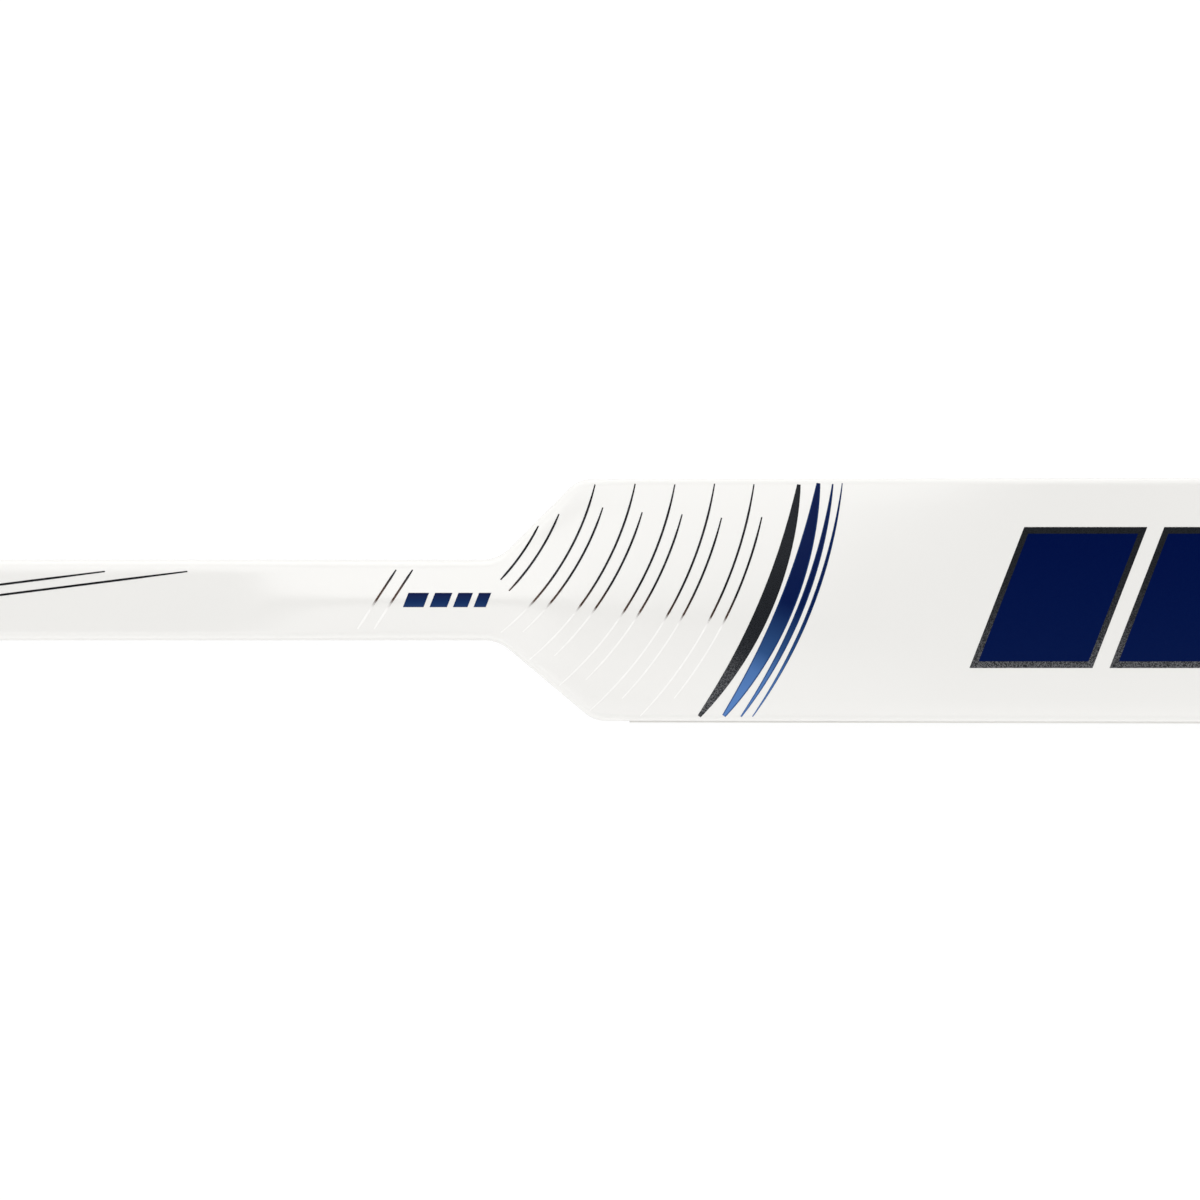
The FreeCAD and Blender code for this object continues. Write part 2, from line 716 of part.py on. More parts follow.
def make_toe_cap(layer, core_area):
    corners = [(TOE_CAP_U, 0), TOE_LOWER_CORNER, TOE_UPPER_CORNER, (TOE_CAP_U, top_edge_v(TOE_CAP_U))]
    rounds = [(TOE_LOWER_CORNER, "Sizes.toe_lower_radius"), (TOE_UPPER_CORNER, "Sizes.toe_upper_radius")]
    wall = document.addObject("Part::Cut", "toe_wall")
    wall.Base = upright_blank("toe_blank", corners, rounds)
    wall.Tool = core_area
    document.recompute()
    return common("toe_cap", wall, layer)


def make_band(label, layer, core_area, start, low, high):
    """A lengthwise band of the blade's core between two heights."""
    band = upright_blank(f"{label}_band", rectangle(start, "Sizes.blade_length", low, high))
    return common(label, common(f"{label}_plan", core_area, band), layer)


def make_blade():
    layer = set_on_blade(
        curved_sheet("core_layer", "Sizes.laminate", BACK_CURVE, FRONT_SKIN_Z, "Sizes.face_curve")
    )
    core_area = make_core_area()
    return [
        make_blade_skin("blade_front_skin", FRONT_SKIN_Z, "Sizes.shaft_thickness", "Sizes.face_curve", 1),
        make_blade_skin("blade_back_skin", "0", "Sizes.laminate", BACK_CURVE, -1),
        make_heel_block(),
        make_strip("sole_strip", layer, lambda u: "0", lambda u: "Sizes.edge_strip_width"),
        make_strip("top_strip", layer, top_strip_v, top_edge_v),
        make_toe_cap(layer, core_area),
        make_band("lower_blade_core", layer, core_area, HEEL_END_U, "0", RIB_LOW),
        make_band("blade_rib", layer, core_area, TENON_U, RIB_LOW, RIB_HIGH),
        make_band("upper_blade_core", layer, core_area, HEEL_END_U, RIB_HIGH, "Sizes.blade_height"),
    ]


def make_stick():
    return [
        make_shaft_tube(),
        make_butt_cap(),
        make_paddle_spine(),
        make_paddle_front_skin(),
        make_paddle_back_skin(),
        make_throat_block("upper_throat_block", "", UPPER_SHOULDER_X),
        make_throat_block("lower_throat_block", "-", "0"),
        make_rail("upper_rail", "", "0"),
        make_rail("lower_rail", "-", "Sizes.rail_proud"),
        make_foam_core("upper_foam_core", ""),
        make_foam_core("lower_foam_core", "-"),
        *make_blade(),
    ]


def check_document():
    """Stops the build if any object failed, which a recompute can leave without an error."""
    for item in document.Objects:
        if {"Invalid", "Error"} & set(item.State):
            raise RuntimeError(f"{item.Label} failed: {item.State}")


def write_parts(pieces):
    os.makedirs("parts", exist_ok=True)
    for piece in pieces:
        shape = piece.Shape
        if shape.isNull() or not shape.isValid() or not shape.Solids:
            raise RuntimeError(f"{piece.Label} has no valid solid")
        shape.exportStep(os.path.join("parts", f"{piece.Label}.step"))
        print(f"{piece.Label}: {len(shape.Solids)} solid, {shape.Volume:.0f} cubic mm")


stick = make_stick()
document.recompute()
check_document()
write_parts(stick)
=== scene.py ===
"""Goalkeeper stick: moulded skins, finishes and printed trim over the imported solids."""

import math
from functools import partial

import bmesh
import bpy
import numpy as np
from bpy.props import FloatProperty, FloatVectorProperty, IntProperty, PointerProperty
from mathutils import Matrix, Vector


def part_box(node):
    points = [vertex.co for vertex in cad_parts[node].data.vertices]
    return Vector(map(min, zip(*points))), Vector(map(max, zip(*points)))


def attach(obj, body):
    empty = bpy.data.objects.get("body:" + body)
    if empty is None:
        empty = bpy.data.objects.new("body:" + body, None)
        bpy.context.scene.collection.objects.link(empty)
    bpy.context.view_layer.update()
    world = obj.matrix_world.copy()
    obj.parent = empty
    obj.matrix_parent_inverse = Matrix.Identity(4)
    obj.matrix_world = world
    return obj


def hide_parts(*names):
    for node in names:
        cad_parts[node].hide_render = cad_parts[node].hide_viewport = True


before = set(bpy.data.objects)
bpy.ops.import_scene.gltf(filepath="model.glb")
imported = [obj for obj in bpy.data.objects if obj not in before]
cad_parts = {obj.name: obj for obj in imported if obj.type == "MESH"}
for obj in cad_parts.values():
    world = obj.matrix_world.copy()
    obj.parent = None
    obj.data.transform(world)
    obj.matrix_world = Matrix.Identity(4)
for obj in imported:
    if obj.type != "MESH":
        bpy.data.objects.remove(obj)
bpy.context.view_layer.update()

bl_info = {
    "name": "Goalkeeper Stick",
    "version": (1, 0, 0),
    "blender": (4, 5, 0),
    "location": "View3D > Sidebar > Stick",
    "description": "Dresses a goalkeeper stick with moulded skins, print and a studio stage",
    "category": "Object",
}

MM = 0.001
BODY = "root"

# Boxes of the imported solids, straight after loading
SHAFT_LOW, SHAFT_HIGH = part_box("shaft_tube")
FACE_LOW, FACE_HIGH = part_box("paddle_front_skin")
CAP_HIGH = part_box("butt_cap")[1]
BLOCK_LOW, BLOCK_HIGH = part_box("upper_throat_block")

HALF_SHAFT = SHAFT_HIGH[1]
HALF_HEEL = FACE_HIGH[1]
THICKNESS = CAP_HIGH[2]
RIDGE_RISE = SHAFT_HIGH[2] - CAP_HIGH[2]
JOINT_X = FACE_LOW[0]
SEAM_X = FACE_HIGH[0]
BLOCK_END_X = BLOCK_HIGH[0]
BLOCK_INNER_Y = BLOCK_LOW[1]
BACK_SEAM_Z = BLOCK_LOW[2]
FRONT_SEAM_Z = BLOCK_HIGH[2]

# Outline: its lead before the joint, and the step over which slopes are taken
OUTLINE_LEAD = 20 * MM
SLOPE_STEP = 0.2 * MM

# Rims: where the rounding starts to change, the paddle's share of it at the shoulder, and how
# much of the drop the arc takes before the last run to the wall
RIM_CHANGE_X = -30 * MM
SHOULDER_MIX = 0.6
ARC_SHARE = 0.97

# Edges whose faces turn by more than this angle are drawn sharp
SHARP_ANGLE = math.radians(38)

# Rows up a throat filler's wall, and the least gap before its last section
THROAT_ROWS = 19
LAST_GAP = 0.3 * MM

# The finger ridge along the stick, in millimetres and shares of the full rise: place, crest's y, rise,
# lower foot, upper foot, softness of the crest, flatness beyond the feet, share of the rise lost below
RIDGE = np.array(
    [
        (-150.0, -7.8, 0.00, -11.75, 11.75, 4.0, 0.0, 0.30),
        (-138.0, -7.6, 0.02, -11.75, 11.75, 4.0, 0.0, 0.30),
        (-133.0, -7.3, 0.04, -11.75, 11.75, 4.0, 0.0, 0.30),
        (-128.0, -6.2, 0.08, -11.75, 11.75, 4.0, 0.0, 0.32),
        (-122.0, -3.7, 0.14, -11.75, 11.75, 4.2, 0.0, 0.36),
        (-118.0, -1.9, 0.18, -11.75, 11.75, 4.5, 0.0, 0.42),
        (-112.0, -1.0, 0.24, -11.75, 11.75, 5.0, 0.0, 0.52),
        (-104.0, -0.8, 0.34, -11.75, 11.75, 5.8, 0.0, 0.70),
        (-94.0, -0.7, 0.45, -11.75, 11.75, 6.5, 0.0, 0.88),
        (-82.0, -0.6, 0.54, -11.75, 11.75, 7.0, 0.0, 1.00),
        (-70.0, -0.6, 0.58, -11.75, 11.75, 7.0, 0.0, 1.00),
        (-45.0, -0.6, 0.58, -11.75, 11.75, 6.5, 0.0, 1.00),
        (-35.0, -0.6, 0.58, -12.5, 12.5, 6.0, 0.3, 1.00),
        (-27.0, -0.7, 0.58, -16.0, 15.5, 5.0, 0.7, 0.90),
        (-20.0, -0.9, 0.58, -21.0, 20.0, 4.0, 1.0, 0.68),
        (-10.0, -1.7, 0.58, -27.0, 27.0, 3.2, 1.0, 0.42),
        (0.0, -3.2, 0.56, -33.0, 34.0, 2.9, 1.0, 0.40),
        (20.0, -5.2, 0.57, -36.0, 40.0, 3.0, 1.0, 0.38),
        (40.0, -6.4, 0.54, -38.0, 41.0, 3.4, 1.0, 0.355),
        (64.0, -8.2, 0.48, -39.0, 42.0, 4.4, 1.0, 0.323),
        (86.0, -11.4, 0.34, -40.0, 42.0, 5.5, 1.0, 0.338),
        (104.0, -13.4, 0.16, -40.0, 42.0, 7.0, 1.0, 0.48),
        (122.0, -15.0, 0.05, -41.0, 42.0, 8.0, 1.0, 0.55),
        (140.0, -16.0, 0.00, -41.0, 42.0, 9.0, 1.0, 0.60),
    ]
)

# Offsets over which the ridge's table is averaged, in millimetres
RIDGE_EASE = (-3.0, -1.5, 0.0, 1.5, 3.0)

# Place along the stick where the ripple stripes begin
RIPPLE_START = -0.034

# The blade's own axes: its sole runs from the heel's corner at the lie angle
LIE = math.radians(65)
BLADE_SOLE = (0.625, -0.045)
BLADE_HEIGHT = 0.086

# Ripples on the blade: centre along and above the sole, first radius, number of pairs, bare rims at
# the sole and the top, share of a stripe painted with a dark reflection, and how the blue turns
# pale along a crescent
BLADE_RIPPLE = (0.120, 0.150)
BLADE_FIRST_RADIUS = 0.150
BLADE_PAIRS = 3
BLADE_SOLE_RIM = 4 * MM
BLADE_TOP_RIM = 7 * MM
BLADE_DARK_REFLECTION_SHARE = 0.6
BLADE_PALING = 1.5

# Spacing of the points on a ripple of the paddle and of the blade
PADDLE_SPACING = 0.5 * MM
BLADE_SPACING = 0.6 * MM

# Shares cut from the top and the foot of the long and the short stripe of a pair
STRIPE_CUTS = ((0.0, 0.0), (0.13, 0.09))

# Straight stripes on the shaft, in millimetres: places of their tops, run, y of top and foot, points
SHAFT_STRIPES = (
    ((-72.0, -66.0), 14.0, 11.0, -10.5, 60),
    ((-148.0, -178.0, -378.0, -408.0, -608.0, -638.0), 165.0, 10.4, -10.4, 120),
)

# Stripe ends: the share of the length that thins, the width left, and the loss of width where the
# painted reflection is pale
STRIPE_END = 0.12
STRIPE_END_WIDTH = 0.6
PALE_THINNING = 0.25

# Foil, whose tone paints its reflection: its warmest tone between dark and pale, how far above the
# crest it warms, and the turn's blur
WARM_REFLECTION_TONE = 0.3
WARM_REFLECTION_REACH = 9 * MM
CREST_BLUR = 0.8 * MM

# Crescents, in millimetres: offset from the outermost stripe and greatest width
RINGS = {
    "flake": ((2.0, 5.5),),
    "blue": ((9.0, 6.0), (14.2, 2.4), (17.6, 1.4)),
}

# Crescents follow a half wave: share of it cut at each tip, and power that fills it out
TIP_CUT = 0.04
FULLNESS = 0.7

# Tone of a crescent by its height above the ridge's crest in millimetres
CREST_HEIGHTS = (-33, -25, -18, -11, -4, 4, 8)
CREST_TONES = (1.0, 0.92, 0.8, 0.5, 0.3, 0.1, 0.03)

# Points across a stripe and a crescent, and rows of points along and across a bar
STRIPE_POINTS = 3
CRESCENT_POINTS = 9
BAR_POINTS = (9, 25)

# Bars: middle line on the paddle, share of the print's lift added to their blue, and tones
BAR_MIDDLE = 0.9 * MM
BAR_STACK = 0.6
RIM_TONE = 1.0
BAR_TONE = 0.02
DASH_TONE = 0.25

# Prints are dropped on the stick from this far off, over this reach, and welded at this distance
DROP_START = 0.3
DROP_REACH = 1.0
WELD = 0.001 * MM

# Range that most of a noise pattern lies in
NOISE_SPAN = (0.3, 0.7)

# Colours of the inner laminate and foam, and of the flakes' glint
DARK_TOW = (0.008, 0.008, 0.009, 1)
PALE_TOW = (0.05, 0.05, 0.055, 1)
FOAM_CELL = (0.62, 0.55, 0.38, 1)
FOAM_WALL = (0.78, 0.72, 0.55, 1)
SILVER = (0.6, 0.6, 0.62, 1)

# Share of the fibres beside the tows in the laminate's tone, and how fast the flakes thin along a print
FIBRE_SHARE = 0.4
FLAKE_THINNING = 3.0

# Dark outline of the blue print: distances from the rim over which it fades, and its strength
OUTLINE_FADE = (0.35 * MM, 0.50 * MM)
OUTLINE_STRENGTH = 0.85

# Floor: height, grey for bounced light, and grey and glow where it is seen
FLOOR_Z = -0.4 * MM
FLOOR_GREY = 0.8
SEEN_GREY = 0.2
SEEN_GLOW = 0.85

# World: grey by share of the way from zenith to horizon, lean of its strength along and across the
# stick, and gain towards both sides
SKY_GREYS = ((0.24, 0.04), (0.34, 0.51), (0.50, 0.45), (0.67, 0.40), (0.83, 0.48))
SKY_LEAN = (-0.5, 0.26)
SKY_SIDES = 3.0

# Strip lamps that shine straight down: name, setting and share of its power, x, y and length
LAMPS = (
    ("key_lamp", "key_power", 1.0, -0.8275, 0.255, 2.085),
    ("blade_lamp", "key_power", 1.33 / 2.085, 1.085, 0.255, 1.33),
    ("fill_lamp", "fill_power", 1.0, -0.07, -0.255, 3.6),
)
LAMP_HEIGHT = 1.0
LAMP_WIDTH = 0.39

# Camera: sensor's width in millimetres and how far it sees in metres
SENSOR_WIDTH = 36.0
CAMERA_REACH = 500.0

# Kinds of settings
LengthProperty = partial(FloatProperty, unit="LENGTH")
AngleProperty = partial(FloatProperty, subtype="ANGLE")
PowerProperty = partial(FloatProperty, unit="POWER")
CountProperty = partial(IntProperty, min=1)
ColourProperty = partial(FloatVectorProperty, subtype="COLOR", min=0, max=1)


class StickForm(bpy.types.PropertyGroup):
    """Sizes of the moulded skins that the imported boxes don't give."""

    shoulder_width: LengthProperty(
        name="Shoulder Width", description="Paddle's width at its shoulders", default=0.088
    )
    upper_shoulder_angle: AngleProperty(
        name="Upper Shoulder",
        description="Slope of the shoulder on the blade's side",
        default=math.radians(45),
    )
    lower_shoulder_angle: AngleProperty(
        name="Lower Shoulder",
        description="Slope of the shoulder on the heel's side",
        default=math.radians(40),
    )
    throat_radius: LengthProperty(
        name="Throat Radius", description="Hollow corner where shaft meets shoulder", default=0.014
    )
    shoulder_radius: LengthProperty(
        name="Shoulder Radius", description="Rounded corner of the shoulder", default=0.011
    )
    shaft_round: LengthProperty(
        name="Shaft Edge", description="Rounding of the shaft's long edges", default=0.003
    )
    paddle_round: LengthProperty(
        name="Paddle Edge", description="Rounding of the paddle's rim", default=0.00145
    )
    paddle_crown: FloatProperty(
        name="Paddle Crown",
        description="Width of the paddle's rim rounding for each unit of depth",
        default=2.2,
    )
    tube_wall: LengthProperty(name="Tube Wall", description="Wall of the hollow shaft", default=0.0015)


class StickPrint(bpy.types.PropertyGroup):
    """Layout of the printed stripes, bands and bars."""

    ripple_x: LengthProperty(
        name="Ripple Centre X", description="Centre of the ripple stripes along the stick", default=-0.096
    )
    ripple_y: LengthProperty(
        name="Ripple Centre Y", description="Centre of the ripple stripes across the stick", default=0.0655
    )
    first_radius: LengthProperty(
        name="First Ripple", description="Radius of the innermost stripe", default=0.085
    )
    pair_step: LengthProperty(
        name="Pair Step", description="Distance from one pair of stripes to the next", default=0.0142
    )
    pair_gap: LengthProperty(
        name="Pair Gap", description="Distance between the two stripes of a pair", default=0.0050
    )
    pair_count: CountProperty(name="Pairs", description="Number of pairs of ripple stripes", default=6)
    stripe_width: LengthProperty(name="Stripe Width", description="Width of a foil stripe", default=0.0008)
    margin: LengthProperty(name="Margin", description="Bare rim left outside the print", default=0.0016)
    bar_count: CountProperty(name="Bars", description="Number of slanted bars", default=7)
    bar_start: LengthProperty(
        name="Bars Start", description="Lower left corner of the first bar", default=0.1400
    )
    bar_width: LengthProperty(name="Bar Width", description="Width of the first bar", default=0.040)
    bar_shrink: FloatProperty(name="Bar Shrink", description="Share kept by each next bar", default=0.84)
    bar_gap: LengthProperty(name="Bar Gap", description="Bare gap between bars", default=0.011)
    bar_height: LengthProperty(
        name="Bar Height", description="Height of a bar across the paddle", default=0.0465
    )
    bar_slant: FloatProperty(
        name="Bar Slant", description="Sideways run for each unit of height", default=0.389
    )
    bar_rim: LengthProperty(name="Bar Rim", description="Width of the flake rim round a bar", default=0.0024)
    dash_count: CountProperty(name="Dashes", description="Number of dashes on the grip", default=4)
    dash_start: LengthProperty(
        name="Dashes Start", description="Lower left corner of the first dash", default=-0.0695
    )
    dash_width: LengthProperty(name="Dash Width", description="Width of the first dash", default=0.0075)
    dash_gap: LengthProperty(name="Dash Gap", description="Bare gap between dashes", default=0.0022)
    dash_height: LengthProperty(
        name="Dash Height", description="Height of a dash across the grip", default=0.0052
    )
    lift: LengthProperty(
        name="Print Lift", description="Height of the print above the paint", default=0.00006
    )
    film: LengthProperty(name="Print Film", description="Thickness of the printed film", default=0.0001)


class StickFinish(bpy.types.PropertyGroup):
    """Colours of the paints, the foils' painted reflections and the mouldings."""

    white_paint: ColourProperty(
        name="White Paint", description="Gloss paint of the skins", default=(0.855, 0.846, 0.822)
    )
    edge_plastic: ColourProperty(
        name="Edge Strip", description="Moulded strip along the lower edge", default=(0.74, 0.73, 0.70)
    )
    cap_rubber: ColourProperty(
        name="Butt Cap", description="Moulded cap on the shaft", default=(0.022, 0.023, 0.026)
    )
    # Foil colours are painted reflection: dark above the ridge's crest, warm at the turn, pale below it
    foil_dark_reflection: ColourProperty(
        name="Dark Foil", description="Foil stripes above the ridge", default=(0.030, 0.030, 0.034)
    )
    foil_warm_reflection: ColourProperty(
        name="Warm Foil", description="Foil where it turns from dark to pale", default=(0.120, 0.074, 0.056)
    )
    foil_pale_reflection: ColourProperty(
        name="Pale Foil", description="Foil stripes below the ridge", default=(0.94, 0.93, 0.91)
    )
    navy: ColourProperty(
        name="Navy", description="Deepest tone of the blue lacquer", default=(0.0003, 0.0042, 0.050)
    )
    royal: ColourProperty(
        name="Royal Blue", description="Middle tone of the blue lacquer", default=(0.025, 0.074, 0.210)
    )
    sky: ColourProperty(
        name="Sky Blue", description="Palest tone of the blue lacquer", default=(0.098, 0.220, 0.515)
    )
    flake: ColourProperty(name="Flake", description="Gunmetal flake lacquer", default=(0.014, 0.016, 0.020))


class StickStage(bpy.types.PropertyGroup):
    """Floor, lamps and camera."""

    floor_size: LengthProperty(name="Floor", description="Side of the square floor", default=120.0)
    key_power: PowerProperty(name="Key Lamp", description="Soft lamp on the blade's side", default=3.62)
    fill_power: PowerProperty(name="Fill Lamp", description="Soft lamp on the heel's side", default=3.8)
    camera_lens: FloatProperty(
        name="Lens", description="Focal length", default=135.0, unit="CAMERA", subtype="DISTANCE_CAMERA"
    )
    view_width: LengthProperty(
        name="View Width", description="Width seen by the camera at the front face", default=0.4368
    )
    view_x: LengthProperty(
        name="View Centre", description="Place along the stick in the picture's middle", default=0.0022
    )


class Plan:
    """Outline, front height and rim rounding along the stick, in metres."""

    def __init__(self, form):
        self.form = form
        half = form.shoulder_width / 2
        flare = half - HALF_SHAFT
        root = -flare / math.tan(form.lower_shoulder_angle)
        taper = (HALF_HEEL - half) / SEAM_X
        upper_x = root + flare / math.tan(form.upper_shoulder_angle)
        self.paths = {}
        for side, corner_x, corner_y in ((1, upper_x, half + taper * upper_x), (-1, 0, half)):
            corners = (
                (JOINT_X - OUTLINE_LEAD, side * HALF_SHAFT, 0),
                (root, side * HALF_SHAFT, form.throat_radius),
                (corner_x, side * corner_y, form.shoulder_radius),
                (SEAM_X, side * HALF_HEEL, 0),
            )
            self.paths[side] = rounded_line(corners)

    def edge(self, x, side):
        """Return the outline's y and slope at x, on the upper (1) or lower (-1) edge."""
        path = self.paths[side]
        y = np.interp(x, path[:, 0], path[:, 1])
        ahead = np.interp(x + SLOPE_STEP, path[:, 0], path[:, 1])
        behind = np.interp(x - SLOPE_STEP, path[:, 0], path[:, 1])
        return y, (ahead - behind) / (2 * SLOPE_STEP)

    def ridge(self, x):
        """Return crest, rise, lower foot, upper foot, softness, flatness and the share lost below at x."""
        rows = []
        for column in RIDGE.T[1:]:
            shares = [np.interp(x / MM + ease, RIDGE[:, 0], column) for ease in RIDGE_EASE]
            rows.append(sum(shares) / len(shares))
        crest, rise, low, high, soft, flat, lost = rows
        return crest * MM, rise * RIDGE_RISE, low * MM, high * MM, soft * MM, flat, lost

    def above_crest(self, line):
        """Return how far above the ridge's crest each point of a line lies."""
        return line[:, 1] - np.array([self.ridge(x)[0] for x in line[:, 0]])

    def front(self, x, y):
        """Return the front face's height at x and y, before its rim is rounded."""
        crest, rise, low, high, soft, flat, lost = self.ridge(x)
        away = np.asarray(y) - crest
        reach = np.where(away > 0, high - crest, crest - low)
        slope = 1 - (np.hypot(away, soft) - soft) / (np.hypot(reach, soft) - soft)
        share = np.where(slope > 0, slope, slope * (1 - flat))
        return THICKNESS + rise * np.where(away > 0, share, 1 - lost * (1 - share))

    def radius(self, x):
        """Return the rim's rounding at x, which shrinks from shaft to paddle."""
        shaft = self.form.shaft_round
        paddle = self.form.paddle_round
        middle = SHOULDER_MIX * paddle + (1 - SHOULDER_MIX) * shaft
        return float(np.interp(x, (JOINT_X, RIM_CHANGE_X, 0, BLOCK_END_X), (shaft, shaft, middle, paddle)))

    def spread(self, x):
        """Return the rim's width for each unit of its depth at x, which grows from shaft to paddle."""
        return float(np.interp(x, (RIM_CHANGE_X, BLOCK_END_X), (1.0, self.form.paddle_crown)))

    def wall(self, x, z, side):
        """Return the side wall's y at height z."""
        y, slope = self.edge(x, side)
        radius = self.radius(x)
        depth = min(float(self.front(x, y)) - z, z, radius)
        share = 1 - math.sin(math.acos(1 - depth / radius))
        return y - side * radius * self.spread(x) * math.hypot(1, slope) * share

    def rim(self, x, side, face, stop, steps=9):
        """Return rim points from the front (face 1) or back (face -1) to the wall at height stop."""
        y_edge, slope = self.edge(x, side)
        radius = self.radius(x)
        inset = radius * self.spread(x) * math.hypot(1, slope)
        height = float(self.front(x, y_edge)) if face > 0 else 0.0
        drop = min(face * (height - stop), radius)
        turn = np.linspace(0, math.acos(1 - ARC_SHARE * drop / radius), steps)
        y = y_edge - side * inset * (1 - np.sin(turn))
        top = self.front(x, y) if face > 0 else np.zeros(steps)
        z = top - face * radius * (1 - np.cos(turn))
        return list(zip(y, z)) + [(self.wall(x, stop, side), stop)]

    def across(self, x, low, high, steps=16):
        """Return front points between two y values, closest together at the crest."""
        crest = self.ridge(x)[0]
        share = np.linspace(0, 1, steps + 1)
        rising = low + (crest - low) * (1 - (1 - share) ** 2)
        falling = crest + (high - crest) * share**2
        y = np.concatenate([rising[1:], falling[1:-1]])
        return list(zip(y, self.front(x, y)))

    def front_line(self, x, stop):
        """Return the front's points from the lower wall, over the ridge, to the upper wall."""
        lower = self.rim(x, -1, 1, stop)
        upper = self.rim(x, 1, 1, stop)
        return lower[::-1] + self.across(x, lower[0][0], upper[0][0]) + upper

    def back_line(self, x, stop):
        """Return the back's points from the upper wall to the lower wall."""
        return self.rim(x, 1, -1, stop)[::-1] + self.rim(x, -1, -1, stop)

    def holds(self, x, y, margin):
        """Tell whether a point lies inside the outline by a margin."""
        high, high_slope = self.edge(x, 1)
        low, low_slope = self.edge(x, -1)
        below_top = y < high - margin * np.hypot(1, high_slope)
        above_foot = y > low + margin * np.hypot(1, low_slope)
        return below_top & above_foot


def rounded_line(corners, steps=28):
    """Return a bent line's points with its inner corners drawn as tangent arcs."""
    points = [corners[0][:2]]
    for before, here, after in zip(corners, corners[1:], corners[2:]):
        place = np.array(here[:2])
        back = np.array(before[:2]) - place
        ahead = np.array(after[:2]) - place
        back /= np.linalg.norm(back)
        ahead /= np.linalg.norm(ahead)
        half = math.acos(float(np.dot(back, ahead))) / 2
        middle = (back + ahead) / np.linalg.norm(back + ahead)
        centre = place + middle * here[2] / math.sin(half)
        start = place + back * here[2] / math.tan(half) - centre
        end = place + ahead * here[2] / math.tan(half) - centre
        sweep = math.pi - 2 * half
        for step in range(steps + 1):
            share = step / steps
            arm = math.sin((1 - share) * sweep) * start + math.sin(share * sweep) * end
            points.append(tuple(centre + arm / math.sin(sweep)))
    points.append(corners[-1][:2])
    return np.array(points)


def spaced(*stretches):
    """Return places along the stick from stretches of start, end and step in millimetres."""
    places = []
    for start, end, step in stretches:
        count = max(1, round((end - start) / step))
        places.extend(np.linspace(start, end, count + 1)[:-1] * MM)
    places.append(stretches[-1][1] * MM)
    return places


SHAFT_PLACES = spaced((SHAFT_LOW[0] / MM, -160, 40), (-160, -105, 1.0), (-105, JOINT_X / MM, 3.0))
PADDLE_PLACES = spaced((JOINT_X / MM, 22, 0.8), (22, 180, 3.0), (180, SEAM_X / MM, 14.0))


def section(x, line):
    """Return a line of y and z as points at x."""
    return [(x, y, z) for y, z in line]


def rounded_box(low_y, high_y, low_z, high_z, radius, steps=5):
    """Return a rectangle's points with rounded corners."""
    points = []
    corners = ((high_y, high_z, 0), (low_y, high_z, 1), (low_y, low_z, 2), (high_y, low_z, 3))
    for y, z, quarter in corners:
        centre_y = y - radius if y == high_y else y + radius
        centre_z = z - radius if z == high_z else z + radius
        for step in range(steps + 1):
            turn = (quarter + step / steps) * math.pi / 2
            points.append((centre_y + radius * math.cos(turn), centre_z + radius * math.sin(turn)))
    return points


def placed(name, data, place=(0, 0, 0)):
    """Make an object and link it to the scene."""
    item = bpy.data.objects.new(name, data)
    item.location = place
    bpy.context.scene.collection.objects.link(item)
    return item


def smooth_mesh(bm, mesh):
    """Write a bmesh to a mesh with its faces outwards and shaded smooth."""
    bmesh.ops.recalc_face_normals(bm, faces=bm.faces)
    bm.to_mesh(mesh)
    bm.free()
    mesh.polygons.foreach_set("use_smooth", np.ones(len(mesh.polygons), dtype=bool))
    mesh.set_sharp_from_angle(angle=SHARP_ANGLE)


def painted_piece(bm, name):
    """Turn a bmesh into an object in the stick's white paint."""
    mesh = bpy.data.meshes.new(name)
    smooth_mesh(bm, mesh)
    mesh.materials.append(finish_named("gloss_white_paint"))
    return placed(name, mesh)


def skin_rows(bm, sections):
    """Join closed sections into walls and return the rows of vertices."""
    rows = [[bm.verts.new(point) for point in points] for points in sections]
    for row, following in zip(rows, rows[1:]):
        for index in range(len(row)):
            after = (index + 1) % len(row)
            bm.faces.new((row[index], row[after], following[after], following[index]))
    return rows


def solid_loft(name, sections):
    """Make a closed solid through sections, with a fan of faces at each end."""
    bm = bmesh.new()
    rows = skin_rows(bm, sections)
    for end in (0, -1):
        middle = bm.verts.new(np.mean(sections[end], axis=0))
        for vertex, following in zip(rows[end], rows[end][1:] + rows[end][:1]):
            bm.faces.new((vertex, following, middle))
    return painted_piece(bm, name)


def loop_edges(row):
    """Return the edges that join a row of vertices into a ring."""
    ring = []
    for vertex, following in zip(row, row[1:] + row[:1]):
        ring.extend(edge for edge in vertex.link_edges if edge.other_vert(vertex) == following)
    return ring


def tube_loft(name, outside, inside):
    """Make a hollow tube between an outer and an inner set of sections."""
    bm = bmesh.new()
    outer = skin_rows(bm, outside)
    inner = skin_rows(bm, inside)
    for end in (0, -1):
        bmesh.ops.bridge_loops(bm, edges=loop_edges(outer[end]) + loop_edges(inner[end]))
    return painted_piece(bm, name)


def stand_for(piece, slot, *nodes):
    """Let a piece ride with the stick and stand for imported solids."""
    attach(piece, BODY)
    if nodes:
        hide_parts(*nodes)


def shade(colour, share=1.0):
    """Return a colour with alpha, scaled by a share."""
    return tuple(min(1.0, float(part) * share) for part in colour) + (1.0,)


def grey(value):
    """Return a grey with alpha."""
    return (value, value, value, 1.0)


